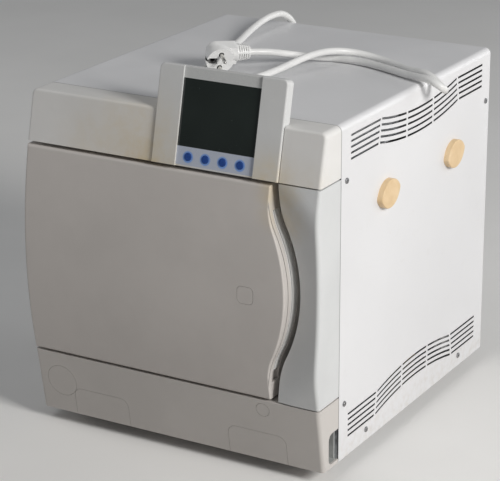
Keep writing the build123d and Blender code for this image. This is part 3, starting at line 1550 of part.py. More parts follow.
def display_housing():
    """The moulding with two cheeks, a back wall and two arms to the front frame."""
    x0, x1 = channel_x()
    slab = block(DISPLAY_X0, DISPLAY_X1, 0, DISPLAY_H, -DISPLAY_T, CHEEK_PROUD)
    corners = [e for e in slab.edges().filter_by(Axis.Z) if (e @ 0.5).Y > DISPLAY_H / 2]
    slab = fillet(corners, DISPLAY_CORNER)
    rim = [e for e in slab.edges() if min((e @ 0).Z, (e @ 1).Z) > CHEEK_PROUD - 0.1 and (e @ 0.5).Y > 0.1]
    slab = fillet(rim, 2)
    slab = slab - block(x0, x1, -1, DISPLAY_H + 1, 0, CHEEK_PROUD + 1)
    slab = slab - block(x0, x1, 2, DISPLAY_H - 2, -DISPLAY_T + WALL, 1)
    housing = local(DISPLAY_FACE, slab)
    low = display_back_y(DISPLAY_ARM_Z)
    for x in (x0 + 8, x1 - 20):
        housing = housing + block(x, x + 12, low - 2, 0, DISPLAY_ARM_Z, DISPLAY_ARM_Z + 12)
    return housing - on_display(x0, x1, 2, DISPLAY_H - 2, -DISPLAY_T + WALL, 0)


def key_x(number):
    x0, x1 = channel_x()
    return (x0 + x1) / 2 + (number - (KEY_COUNT - 1) / 2) * KEY_PITCH + KEY_SHIFT


def display_bezel():
    """The flat panel between the cheeks, with the screen's opening and the keys' holes."""
    x0, x1 = channel_x()
    body = block(x0, x1, 2, DISPLAY_H - 2, -BEZEL_T, 0)
    left = x0 + SCREEN_MARGIN
    right = x1 - SCREEN_MARGIN
    body = body - block(left, right, SCREEN_V0, SCREEN_V1, -SCREEN_T, 1)
    body = body - block(left + 2, right - 2, SCREEN_V0 + 2, SCREEN_V1 - 2, -BEZEL_T - 1, 1)
    for number in range(KEY_COUNT):
        body = body - rod("z", key_x(number), KEY_V, -BEZEL_T - 1, 1, KEY_R + KEY_FIT)
    return local(DISPLAY_FACE, body)


def display_screen():
    """The clear window over the display."""
    x0, x1 = channel_x()
    return on_display(x0 + SCREEN_MARGIN, x1 - SCREEN_MARGIN, SCREEN_V0, SCREEN_V1, -SCREEN_T, 0)


def display_board():
    """The board with the display glass and a contact under each key."""
    x0, x1 = channel_x()
    floor = -DISPLAY_T + WALL
    face = floor + BOARD_T
    body = block(x0 + 2, x1 - 2, 4, DISPLAY_H - 4, floor, face)
    inset = SCREEN_MARGIN + 4
    body = body + block(x0 + inset, x1 - inset, SCREEN_V0 + 4, SCREEN_V1 - 4, face - 0.1, -BEZEL_T)
    for number in range(KEY_COUNT):
        body = body + rod("z", key_x(number), KEY_V, face - 0.1, -KEY_BACK - KEY_TRAVEL - 0.1, 3)
    return local(DISPLAY_FACE, body)


def key(number):
    """A round key with a collar behind the bezel."""
    cap = rod("z", key_x(number), KEY_V, -KEY_BACK, KEY_RISE, KEY_R)
    rim = [e for e in cap.edges().filter_by(GeomType.CIRCLE) if (e @ 0).Z > 0]
    cap = fillet(rim, 0.6)
    collar = rod("z", key_x(number), KEY_V, -KEY_BACK, -BEZEL_T - 0.2, KEY_R + 1.2)
    return local(DISPLAY_FACE, cap + collar)


# Sterile filter and side caps


def sterile_filter():
    """The round air filter behind its cap, held on the front frame."""
    body = rod("y", FILTER_X, FILTER_V, -20, 0, FILTER_R - 6)
    return body + rod("y", FILTER_X, FILTER_V, -28, -20, 6)


def leaf(length, height):
    """A leaf outline: two arcs with blunt tips."""
    half = length / 2
    rise = height / 2
    upper = ThreePointArc((-half, 0), (0, rise), (half, 0))
    lower = ThreePointArc((half, 0), (0, -rise), (-half, 0))
    face = make_face(upper + lower)
    return fillet(face.vertices(), SIDE_CAP_TIP)


def side_caps():
    """Leaf-shaped plastic caps that close the carrying holes in both sides."""
    caps = []
    for y in SIDE_CAP_Y:
        plane = Plane(origin=(HALF_W, y, SIDE_CAP_Z), x_dir=(0, 1, 0), z_dir=(1, 0, 0))
        outline = Rot(0, 0, SIDE_CAP_TURN) * leaf(SIDE_CAP_LEN, SIDE_CAP_H)
        body = extrude(plane * outline, SIDE_CAP_RISE)
        rim = [e for e in body.edges() if min((e @ 0).X, (e @ 1).X) > HALF_W + SIDE_CAP_RISE - 0.1]
        caps += both_sides(fillet(rim, SIDE_CAP_ROUND))
    return group(caps)


# Cord and plug


def cord_gland():
    """The tapered strain relief where the cord leaves the back."""
    y0 = BACK_Y - SHEET - 4
    points = [
        (0, y0),
        (GLAND_HOLE_R, y0),
        (GLAND_HOLE_R, BACK_Y),
        (GLAND_HOLE_R + 3, BACK_Y),
        (GLAND_HOLE_R + 3, BACK_Y + 3),
        (CORD_R + 3, BACK_Y + 4),
        (CORD_R + 1.2, BACK_Y + GLAND_LEN),
        (0, BACK_Y + GLAND_LEN),
    ]
    return turned(points, GLAND_X, GLAND_Z)


def cord_route():
    """The cord's route: out of the gland, up the back, over the top and round to the plug."""
    gland_end = (GLAND_X, BACK_Y + GLAND_LEN, GLAND_Z)
    first = (GLAND_X, BACK_Y + GLAND_LEN + CORD_LEAD, GLAND_Z)
    return [gland_end, first] + CORD_POINTS + [plug_point(CORD_LEAD - 8), plug_point(0)]


def plug_point(out):
    """A point on the line of the plug's strain relief, some way out of it."""
    place = PLUG_FACE.from_local_coords(Vector(RELIEF_END + out, 0, -CABLE_BEHIND))
    return (place.X, place.Y, place.Z)


def rounded(points):
    """The path of straight runs with the largest arcs that they allow."""
    radii = []
    for before, here, after in zip(points, points[1:], points[2:]):
        one = Vector(*here) - Vector(*before)
        two = Vector(*after) - Vector(*here)
        turn = radians(one.get_angle(two))
        radii.append(ARC_SHARE * min(one.length, two.length) / tan(turn / 2))
    return FilletPolyline(*points, radius=radii)


def mains_cord():
    """The mains cord as one round tube along its route."""
    path = rounded(cord_route())
    return sweep(Plane(path ^ 0) * Circle(CORD_R), path=path)


def plug_body():
    """The moulded angled plug: round face, narrower back and ribbed strain relief at the side."""
    disc = rod("z", 0, 0, -PLUG_DISC, 0, PLUG_R)
    back_rim = [e for e in disc.edges().filter_by(GeomType.CIRCLE) if (e @ 0).Z < -1]
    disc = chamfer(back_rim, PLUG_EDGE)
    length = RELIEF_START - 4
    back = Pos(length / 2, 0, -PLUG_DEEP) * SlotCenterToCenter(length, PLUG_BACK_W)
    back = extrude(back, PLUG_DEEP - PLUG_DISC + 2)
    far = [e for e in back.edges() if (e @ 0.5).Z < -PLUG_DEEP + 0.1]
    back = fillet(far, PLUG_EDGE)
    back = back & block(-30, RELIEF_START, -20, 20, -PLUG_DEEP - 1, 0)
    body = disc + back
    for x in (-PLUG_R, PLUG_R):
        body = body - block(x - 2.5, x + 2.5, -3, 3, -9, 1)
    half_x = EARTH_RECESS / 2
    half_y = EARTH_RECESS * 0.38
    body = body - block(EARTH_HOLE_X - half_x, EARTH_HOLE_X + half_x, -half_y, half_y, -4, 1)
    body = body - rod("z", EARTH_HOLE_X, 0, -14, 1, PLUG_PIN_R)
    return local(PLUG_FACE, body + strain_relief())


def strain_relief():
    """The ribbed sleeve round the cord at the plug, its grooves crossed by lengthwise bands."""
    pitch = (RELIEF_END - RELIEF_START) / RELIEF_RIBS
    groove = RELIEF_GROOVE
    points = [(RELIEF_START - 6, 0), (RELIEF_START - 6, RELIEF_R - 1.5)]
    for number in range(RELIEF_RIBS):
        x = RELIEF_START + pitch * number
        rib_r = RELIEF_R - RELIEF_TAPER * number
        points += [(x, rib_r), (x + pitch - groove, rib_r), (x + pitch - groove, 7.5), (x + pitch, 7.5)]
    points.append((RELIEF_END, 0))
    sleeve = revolve(Polygon(*points, align=None), Axis.X)
    end_r = RELIEF_R - RELIEF_TAPER * (RELIEF_RIBS - 1)
    end_x = RELIEF_END - groove
    outline = [(RELIEF_START, 0), (RELIEF_START, RELIEF_R - 0.4), (end_x, end_r - 0.4), (end_x, 0)]
    cone = revolve(Polygon(*outline, align=None), Axis.X)
    for number in range(RELIEF_BANDS):
        band = block(RELIEF_START, end_x, -15, 15, -1.5, 1.5)
        sleeve = sleeve + (cone & Rot(180 / RELIEF_BANDS * number, 0, 0) * band)
    return Pos(0, 0, -CABLE_BEHIND) * sleeve


def plug_pins():
    """The two round pins, with rounded tips."""
    pins = []
    for side in (-1, 1):
        pin = rod("z", 0, side * PLUG_PIN_PITCH / 2, 0, PLUG_PIN_LEN, PLUG_PIN_R)
        tip = [e for e in pin.edges().filter_by(GeomType.CIRCLE) if (e @ 0).Z > 1]
        pins.append(local(PLUG_FACE, fillet(tip, 1.8)))
    return group(pins)


def build():
    outside = door_outside()
    nodes = {
        "metal_cover": metal_cover(),
        "cover_screws": cover_screws(),
        "front_frame": front_frame(),
        "rear_panel": rear_panel(),
        "base_pan": base_pan(),
        "component_shelf": component_shelf(),
        "hood": hood(),
        "front_column": front_column(),
        "plinth": plinth(),
        "plinth_caps": plinth_caps(),
        "service_flaps": service_flaps(),
        "sterile_filter": sterile_filter(),
        "side_caps": side_caps(),
        "door_shell": door_shell(outside),
        "door_cap": door_cap(outside),
        "door_liner": door_liner(outside),
        "door_carrier": group([door_carrier(), lid_bolt()]),
        "hinge_bushes": hinge_bushes(),
        "hinge_pin": hinge_pin(),
        "hinge_brackets": hinge_brackets(),
        "pressure_lid": pressure_lid(),
        "lid_gasket": lid_gasket(),
        "grip": grip(),
        "lock_bar": lock_bar(),
        "strikers": strikers(),
        "chamber": chamber(),
        "chamber_insulation": chamber_insulation(),
        "chamber_saddles": chamber_saddles(),
        "steam_generator": steam_generator(),
        "pump_motor": pump_motor(),
        "vacuum_pump": vacuum_pump(),
        "valve_block": valve_block(),
        "safety_valve": safety_valve(),
        "steam_pipes": steam_pipes(),
        "fan_shroud": fan_shroud(),
        "fan_rotor": fan_rotor(),
        "condenser": condenser(),
        "control_board": control_board(),
        "power_supply": power_supply(),
        "rear_connectors": rear_connectors(),
        "switch_bracket": switch_bracket(),
        "mains_switch": mains_switch(),
        "mains_rocker": mains_rocker(),
        "display_housing": display_housing(),
        "display_bezel": display_bezel(),
        "display_screen": display_screen(),
        "display_board": display_board(),
        "rear_feet": rear_feet(),
        "cord_gland": cord_gland(),
        "mains_cord": mains_cord(),
        "plug_body": plug_body(),
        "plug_pins": plug_pins(),
    }
    for number in range(KEY_COUNT):
        nodes[f"key_{number + 1}"] = key(number)
    for side, x in (("left", -FOOT_X), ("right", FOOT_X)):
        nodes[f"foot_stud_{side}"] = foot_stud(x)
        nodes[f"foot_pad_{side}"] = foot_pad(PAD_R, PAD_T, x, FOOT_FRONT_Y)
    return nodes


for name, shape in build().items():
    write(name, shape)
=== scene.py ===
import bpy
import json
from math import cos, radians, sin
from mathutils import Matrix, Vector


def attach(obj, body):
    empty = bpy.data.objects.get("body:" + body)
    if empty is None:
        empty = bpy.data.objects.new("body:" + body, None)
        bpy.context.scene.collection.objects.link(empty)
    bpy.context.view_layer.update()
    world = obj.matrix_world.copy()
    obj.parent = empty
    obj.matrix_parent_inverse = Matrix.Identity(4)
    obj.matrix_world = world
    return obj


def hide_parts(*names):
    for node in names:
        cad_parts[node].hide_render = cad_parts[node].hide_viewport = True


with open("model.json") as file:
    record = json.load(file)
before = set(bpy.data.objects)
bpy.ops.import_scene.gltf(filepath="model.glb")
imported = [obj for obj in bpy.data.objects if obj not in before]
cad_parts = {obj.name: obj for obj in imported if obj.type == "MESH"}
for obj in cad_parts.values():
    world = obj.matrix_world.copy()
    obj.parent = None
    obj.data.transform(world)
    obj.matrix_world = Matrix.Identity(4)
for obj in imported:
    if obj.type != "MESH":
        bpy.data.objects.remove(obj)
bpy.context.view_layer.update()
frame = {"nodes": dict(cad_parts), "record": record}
cad = frame["nodes"]

# Material helpers

NOISE_LOW = 0.3
NOISE_HIGH = 0.7


class Surface:
    """A Principled material with short calls for the nodes that feed it."""

    def __init__(self, name, roughness=0.5, metallic=0.0, specular=0.5):
        self.material = bpy.data.materials.new(name)
        self.material.use_nodes = True
        self.tree = self.material.node_tree
        self.shader = self.tree.nodes["Principled BSDF"]
        self.shader.inputs["Roughness"].default_value = roughness
        self.shader.inputs["Metallic"].default_value = metallic
        self.shader.inputs["Specular IOR Level"].default_value = specular
        self.place = self.node("ShaderNodeTexCoord").outputs["Object"]

    def node(self, kind, **values):
        made = self.tree.nodes.new(kind)
        for key, value in values.items():
            setattr(made, key, value)
        return made

    def feed(self, value, socket):
        """Links an output to a socket, or sets the socket's own value."""
        if isinstance(value, bpy.types.NodeSocket):
            self.tree.links.new(value, socket)
        else:
            socket.default_value = value

    def stretched(self, scale):
        """The object's coordinates, stretched along its axes."""
        mapping = self.node("ShaderNodeMapping")
        self.feed(self.place, mapping.inputs["Vector"])
        mapping.inputs["Scale"].default_value = scale
        return mapping.outputs["Vector"]

    def noise(self, scale, detail=3.0, rough=0.55, place=None, distortion=0.0):
        made = self.node("ShaderNodeTexNoise")
        self.feed(place or self.place, made.inputs["Vector"])
        made.inputs["Scale"].default_value = scale
        made.inputs["Detail"].default_value = detail
        made.inputs["Roughness"].default_value = rough
        made.inputs["Distortion"].default_value = distortion
        return made.outputs["Fac"]

    def cells(self, scale, place=None, feature="F1"):
        """A Voronoi texture's node, for its distance or its colour."""
        made = self.node("ShaderNodeTexVoronoi", feature=feature)
        self.feed(place or self.place, made.inputs["Vector"])
        made.inputs["Scale"].default_value = scale
        return made

    def ranged(self, value, low, high, to_low=0.0, to_high=1.0):
        """to_low up to the value low, to_high from the value high, and smooth between."""
        made = self.node("ShaderNodeMapRange", interpolation_type="SMOOTHSTEP")
        self.feed(value, made.inputs["Value"])
        names = ("From Min", "From Max", "To Min", "To Max")
        for name, number in zip(names, (low, high, to_low, to_high)):
            made.inputs[name].default_value = number
        return made.outputs["Result"]

    def spread(self, noise, to_low=0.0, to_high=1.0):
        """A noise's usual values, brought to a range."""
        return self.ranged(noise, NOISE_LOW, NOISE_HIGH, to_low, to_high)

    def maths(self, operation, one, two=0.0, clamp=False):
        made = self.node("ShaderNodeMath", operation=operation, use_clamp=clamp)
        self.feed(one, made.inputs[0])
        self.feed(two, made.inputs[1])
        return made.outputs[0]

    def axis(self, letter):
        """One of the object's coordinates, in metres."""
        made = self.node("ShaderNodeSeparateXYZ")
        self.feed(self.place, made.inputs[0])
        return made.outputs[letter]

    def near(self, point, reach, full=0.0):
        """1 up to the distance full from a point, and 0 beyond reach."""
        mapping = self.node("ShaderNodeMapping")
        self.feed(self.place, mapping.inputs["Vector"])
        mapping.inputs["Location"].default_value = [-coordinate for coordinate in point]
        length = self.node("ShaderNodeVectorMath", operation="LENGTH")
        self.feed(mapping.outputs["Vector"], length.inputs[0])
        return self.ranged(length.outputs["Value"], full, reach, 1.0, 0.0)

    def mix(self, factor, one, two):
        """The colour one at factor 0 and the colour two at factor 1."""
        made = self.node("ShaderNodeMix", data_type="RGBA")
        self.feed(factor, made.inputs[0])
        for colour, socket in ((one, made.inputs[6]), (two, made.inputs[7])):
            linked = isinstance(colour, bpy.types.NodeSocket)
            self.feed(colour if linked else (*colour, 1), socket)
        return made.outputs[2]

    def colour(self, value):
        self.feed(value, self.shader.inputs["Base Color"])

    def roughness(self, value):
        self.feed(value, self.shader.inputs["Roughness"])

    def bump(self, height, distance, strength, under=None):
        """Feeds a bump to the shader, over the bump under it if there is one."""
        made = self.node("ShaderNodeBump")
        made.inputs["Strength"].default_value = strength
        made.inputs["Distance"].default_value = distance
        self.feed(height, made.inputs["Height"])
        if under is not None:
            self.feed(under, made.inputs["Normal"])
        self.feed(made.outputs["Normal"], self.shader.inputs["Normal"])
        return made.outputs["Normal"]


def shade(colour, amount):
    """A colour made lighter or darker by a factor."""
    return tuple(min(channel * amount, 1.0) for channel in colour)


# Places in the row frame, from the panel's millimetres

PANEL_Y = 192.5
FEET_H = 18


def at(x, y, z):
    """Panel millimetres as a place in the row frame, in metres."""
    return Vector((x / 1000, (y - PANEL_Y) / 1000, (z + FEET_H) / 1000))


# Outside materials

COVER_WHITE = (0.79, 0.79, 0.80)
WARM_WHITE = (0.775, 0.765, 0.745)
DOOR_WHITE = (0.625, 0.590, 0.560)
PLINTH_WHITE = (0.615, 0.585, 0.555)
COLUMN_WHITE = (0.68, 0.69, 0.69)
CHEEK_WHITE = (0.67, 0.675, 0.67)
# The grip is whiter than the other plastic: painted light, so its lit free edge reads bright
GRIP_LIT_WHITE = (0.87, 0.865, 0.85)
# Painted shade on the cover's inside, so the louvre slots read dark
INSIDE_SHADE = (0.030, 0.032, 0.040)
GREY_DUST = (0.60, 0.57, 0.52)
# Colour the cover turns towards its lower edge
LOW_BROWN = (0.50, 0.43, 0.34)
HAND_MARKS = (0.42, 0.40, 0.36)
DOOR_GROOVE = 57.5
GRIP_GROOVE = 46.0
GROOVE_X = 0.1437
GROOVE_HALF = 0.0005
GROOVE_FADE = 0.0009
# Strength of the painted shade line along the free edge's groove
GROOVE_SHADE = 0.75
# Painted shade at the seam by the cover: where it starts, where it is full, and its strength
SEAM_START = -1.5
SEAM_FULL = -0.7
SEAM_SHADE = 0.62
BROWN_FULL_Z = 0.02
BROWN_TOP_Z = 0.075
INNER_X = 0.2117
INNER_TOP_Z = 0.4455
SCREEN_LOW_Z = 0.4170
SCREEN_TOP_Z = 0.4983
FOIL_BLUR = 0.0002
KEY_RING_FULL = 0.0064
KEY_RING_REACH = 0.0086
AGED = (0.66, 0.53, 0.31)

# Each yellowed spot has its middle, its reach in metres and its strength
HOOD_AGED = (
    (at(-46, -58, 380), 0.120, 0.55),
    (at(-36, -58, 370), 0.070, 0.95),
    (at(-95, -52, 374), 0.095, 0.38),
    (at(-14, -78, 370), 0.060, 1.00),
    (at(144, -78, 370), 0.070, 0.85),
    (at(150, -75, 400), 0.050, 0.25),
    (at(190, -50, 372), 0.045, 0.25),
)
DOOR_AGED = (
    (at(150, -56, 362), 0.034, 0.60),
    (at(152, -50, 335), 0.034, 0.40),
)
COLUMN_AGED = (
    (at(164, -45, 360), 0.038, 0.60),
    (at(170, -35, 330), 0.046, 0.55),
)


def moulded(name, colour, aged=(), groove=None, seam=False):
    """Moulded plastic: grain, mottle, yellowing, and painted shade along the free edge's groove or at
    the seam by the cover.
    """
    made = Surface(name, roughness=0.46, specular=0.42)
    broad = made.noise(7.0, detail=4.0, rough=0.6)
    tone = made.mix(made.ranged(broad, 0.3, 0.72), shade(colour, 0.955), shade(colour, 1.03))
    smudge = made.noise(38.0, detail=5.0, rough=0.65, distortion=0.4)
    tone = made.mix(made.ranged(smudge, 0.55, 0.85, 0.0, 0.22), tone, shade(colour, 0.86))
    if aged:
        total = None
        for place, reach, amount in aged:
            spot = made.maths("MULTIPLY", made.near(place, reach), amount)
            total = spot if total is None else made.maths("MAXIMUM", total, spot)
        ragged = made.ranged(made.noise(60.0, detail=4.0, rough=0.6), 0.25, 0.75, 0.45, 1.0)
        factor = made.maths("MULTIPLY", total, ragged, clamp=True)
        tone = made.mix(factor, tone, AGED)
    # Painted shade: a dark line along the free edge's groove
    if groove is not None:
        away = made.maths("ABSOLUTE", made.maths("SUBTRACT", made.axis("Y"), at(0, -groove, 0).y))
        inside = made.ranged(away, GROOVE_HALF, GROOVE_FADE, GROOVE_SHADE, 0.0)
        inside = made.maths("MULTIPLY", inside, made.ranged(made.axis("X"), GROOVE_X, GROOVE_X + 0.001))
        tone = made.mix(inside, tone, shade(colour, 0.30))
    # Painted shade: a dark line at the seam by the cover's front edge
    if seam:
        start = at(0, SEAM_START, 0).y
        full = at(0, SEAM_FULL, 0).y
        seam_shade = made.ranged(made.axis("Y"), start, full, 0.0, SEAM_SHADE)
        tone = made.mix(seam_shade, tone, shade(colour, 0.25))
    made.colour(tone)
    made.roughness(made.spread(made.noise(22.0, detail=4.0, rough=0.6), 0.40, 0.54))
    fine = made.noise(1500.0, detail=2.0, rough=0.5)
    under = made.bump(made.noise(6.0, detail=2.0), distance=0.0015, strength=0.12)
    made.bump(fine, distance=0.00008, strength=0.35, under=under)
    return made.material


def cover_paint():
    """Powder coat: orange peel, slow waves, faint dust, browner towards the lower edge, and painted
    shade on the inside so the louvre slots look dark.
    """
    made = Surface("cover_paint", roughness=0.4, specular=0.45)
    broad = made.noise(3.5, detail=3.0, rough=0.5)
    tone = made.mix(made.spread(broad), shade(COVER_WHITE, 0.965), shade(COVER_WHITE, 1.02))
    dust = made.noise(55.0, detail=6.0, rough=0.7, distortion=0.6)
    tone = made.mix(made.ranged(dust, 0.56, 0.85, 0.0, 0.16), tone, GREY_DUST)
    # Browner towards the lower edge
    low = made.ranged(made.axis("Z"), BROWN_FULL_Z, BROWN_TOP_Z, 0.30, 0.0)
    ragged = made.ranged(made.noise(90.0, detail=4.0, rough=0.6), 0.35, 0.8)
    tone = made.mix(made.maths("MULTIPLY", low, ragged), tone, LOW_BROWN)
    # Painted shade: the sheet's inside is near-black so the louvre slots look dark
    inner_shade = made.ranged(made.maths("ABSOLUTE", made.axis("X")), INNER_X, INNER_X + 0.0002, 1.0, 0.0)
    under = made.ranged(made.axis("Z"), INNER_TOP_Z, INNER_TOP_Z + 0.0005, 1.0, 0.0)
    tone = made.mix(made.maths("MULTIPLY", inner_shade, under), tone, INSIDE_SHADE)
    made.colour(tone)
    made.roughness(made.spread(made.noise(14.0, detail=4.0, rough=0.6), 0.34, 0.48))
    wave = made.bump(made.noise(4.0, detail=2.0, rough=0.4), distance=0.004, strength=0.12)
    made.bump(made.noise(420.0, detail=2.0, rough=0.5), distance=0.00010, strength=0.30, under=wave)
    return made.material


def middle_of(obj):
    """The middle of an object's box, in its own coordinates."""
    corners = [Vector(corner) for corner in obj.bound_box]
    return sum(corners, Vector()) / len(corners)


def panel_foil():
    """The display's front foil: bluish below the screen with a pale ring round each key, grey above."""
    made = Surface("panel_foil", roughness=0.42, specular=0.4)
    height = made.axis("Z")
    below = made.ranged(height, SCREEN_LOW_Z - FOIL_BLUR, SCREEN_LOW_Z + FOIL_BLUR, 1.0, 0.0)
    above = made.ranged(height, SCREEN_TOP_Z - FOIL_BLUR, SCREEN_TOP_Z + FOIL_BLUR)
    speck = made.noise(900.0, detail=2.0, rough=0.5)
    speckle = made.spread(speck)
    blue = made.mix(speckle, (0.47, 0.51, 0.60), (0.52, 0.56, 0.65))
    grey = made.mix(speckle, (0.54, 0.55, 0.55), (0.60, 0.61, 0.60))
    tone = made.mix(below, (0.05, 0.055, 0.055), blue)
    tone = made.mix(above, tone, grey)
    for number in range(1, 5):
        ring = made.near(middle_of(cad[f"key_{number}"]), KEY_RING_REACH, KEY_RING_FULL)
        tone = made.mix(ring, tone, (0.20, 0.36, 0.74))
    made.colour(tone)
    made.roughness(made.spread(speck, 0.36, 0.46))
    made.bump(speck, distance=0.00003, strength=0.25)
    return made.material


def display_glass():
    """A near-black window with a faint, uneven sheen and a little dust."""
    made = Surface("screen_black", roughness=0.16, specular=0.5)
    dust = made.noise(140.0, detail=6.0, rough=0.75, distortion=0.5)
    broad = made.noise(9.0, detail=2.0, rough=0.5)
    tone = made.mix(made.spread(broad), (0.010, 0.015, 0.013), (0.017, 0.024, 0.021))
    tone = made.mix(made.ranged(dust, 0.62, 0.9, 0.0, 0.10), tone, (0.25, 0.26, 0.25))
    made.colour(tone)
    made.roughness(made.ranged(dust, 0.4, 0.8, 0.12, 0.34))
    return made.material


def key_cap():
    """Blue key plastic with a fine speck."""
    made = Surface("key_blue", roughness=0.34, specular=0.45)
    speck = made.noise(700.0, detail=3.0, rough=0.6)
    made.colour(made.mix(made.spread(speck), (0.010, 0.048, 0.24), (0.022, 0.085, 0.34)))
    made.roughness(made.spread(made.noise(200.0, detail=3.0), 0.28, 0.42))
    made.bump(speck, distance=0.00003, strength=0.3)
    return made.material


def beige_cap():
    """Warm plastic of the side caps, mottled and a little worn."""
    made = Surface("cap_beige", roughness=0.46, specular=0.4)
    broad = made.noise(45.0, detail=4.0, rough=0.6)
    tone = made.mix(made.spread(broad), (0.74, 0.535, 0.30), (0.82, 0.62, 0.385))
    wear = made.noise(230.0, detail=5.0, rough=0.7)
    tone = made.mix(made.ranged(wear, 0.6, 0.85, 0.0, 0.35), tone, (0.60, 0.41, 0.22))
    made.colour(tone)
    made.roughness(made.spread(broad, 0.40, 0.55))
    made.bump(made.noise(1300.0, detail=2.0), distance=0.00006, strength=0.35)
    return made.material


# The plug's face: its middle, its axes, and the painted shade in its recess, holes and round its pins,
# each with a place on the face, the radius where the shade ends, the radius where it is fully dark, in
# millimetres, and its colour
PLUG_FACE = at(-35.8, 135.1, 458.2)
PLUG_X = Vector((0.674, 0.739, -0.058))
PLUG_Z = Vector((0.683, -0.650, -0.334))
PLUG_Y = PLUG_Z.cross(PLUG_X)
PLUG_HOLE_SHADES = (
    ((-10, 0, -8.6), 8.4, 7.6, (0.12, 0.12, 0.12)),
    ((-10, 0, -8.0), 5.6, 4.9, (0.020, 0.020, 0.021)),
    ((0, 9.5, 0), 3.9, 3.2, (0.035, 0.036, 0.038)),
    ((0, -9.5, 0), 3.9, 3.2, (0.035, 0.036, 0.038)),
)


def on_plug(x, y, z):
    """Millimetres on the plug's face as a place in the row frame."""
    return PLUG_FACE + (PLUG_X * x + PLUG_Y * y + PLUG_Z * z) / 1000


def soft_white(name, colour, grime=0.25, holes=()):
    """White flexible plastic of the cord and plug, with handling marks and painted shade in the plug's
    recess, holes and round its pins.
    """
    made = Surface(name, roughness=0.4, specular=0.45)
    broad = made.noise(26.0, detail=4.0, rough=0.6)
    tone = made.mix(made.spread(broad), shade(colour, 0.95), shade(colour, 1.02))
    marks = made.noise(160.0, detail=6.0, rough=0.72, distortion=0.8)
    tone = made.mix(made.ranged(marks, 0.58, 0.82, 0.0, grime), tone, HAND_MARKS)
    # Painted shade in the plug's recess, earth hole and round the pins' bases
    for place, reach, full, dark in holes:
        tone = made.mix(made.near(on_plug(*place), reach / 1000, full / 1000), tone, dark)
    made.colour(tone)
    made.roughness(made.spread(made.noise(70.0, detail=4.0), 0.30, 0.46))
    made.bump(made.noise(900.0, detail=3.0), distance=0.00005, strength=0.3)
    return made.material


# Inside materials


def metal(name, dark, light, low, high, grain=(40, 40, 900), bump=0.00006, cloud=0.35):
    """Rolled or drawn metal: grain along one direction, uneven shine."""
    made = Surface(name, roughness=0.35, metallic=1.0)
    lines = made.noise(1.0, detail=4.0, rough=0.6, place=made.stretched(grain))
    broad = made.noise(18.0, detail=4.0, rough=0.6)
    tone = made.mix(made.ranged(lines, 0.25, 0.75), dark, light)
    made.colour(made.mix(made.ranged(broad, 0.35, 0.75, 0.0, cloud), tone, shade(dark, 0.8)))
    made.roughness(made.spread(broad, low, high))
    made.bump(lines, distance=bump, strength=0.4)
    return made.material


def galvanised():
    """Zinc-coated sheet with its crystals."""
    made = Surface("sheet_steel", roughness=0.42, metallic=1.0)
    crystals = made.cells(160.0)
    shine = made.node("ShaderNodeSeparateColor")
    made.feed(crystals.outputs["Color"], shine.inputs[0])
    flake = made.maths("MULTIPLY", shine.outputs[0], 0.6)
    flake = made.maths("ADD", flake, made.ranged(crystals.outputs["Distance"], 0.1, 0.8, 0.0, 0.4))
    made.colour(made.mix(flake, (0.44, 0.45, 0.46), (0.64, 0.65, 0.67)))
    made.roughness(made.ranged(flake, 0.0, 1.0, 0.34, 0.52))
    made.bump(made.noise(500.0, detail=3.0), distance=0.00004, strength=0.3)
    return made.material


def plain(name, dark, light, scale, low, high, bump=0.00005):
    """Non-metal with two tones, uneven shine and a fine surface."""
    made = Surface(name, roughness=high, specular=0.4)
    grain = made.noise(scale, detail=5.0, rough=0.65)
    made.colour(made.mix(made.spread(grain), dark, light))
    made.roughness(made.spread(made.noise(scale / 3, detail=4.0), low, high))
    made.bump(made.noise(scale * 6, detail=3.0), distance=bump, strength=0.4)
    return made.material


def felt():
    """Mineral wool coloured near-black as painted shade seen through the louvres: a soft, fibrous,
    uneven surface.
    """
    made = Surface("mineral_wool", roughness=0.95, specular=0.1)
    place = made.stretched((260, 700, 260))
    fibres = made.noise(1.0, detail=6.0, rough=0.75, place=place, distortion=1.5)
    # Painted shade: the wool is near-black so the louvre slots look dark
    made.colour(made.mix(made.spread(fibres), (0.07, 0.067, 0.06), (0.16, 0.15, 0.135)))
    made.bump(fibres, distance=0.0012, strength=0.8)
    return made.material


def circuit():
    """Solder resist with faint tracks."""
    made = Surface("board_green", roughness=0.35, specular=0.5)
    cells = made.cells(260.0, made.stretched((1, 1, 0.2)), "DISTANCE_TO_EDGE")
    tracks = made.ranged(cells.outputs["Distance"], 0.02, 0.10)
    made.colour(made.mix(tracks, (0.10, 0.34, 0.17), (0.035, 0.17, 0.075)))
    made.bump(tracks, distance=0.00006, strength=0.4)
    return made.material


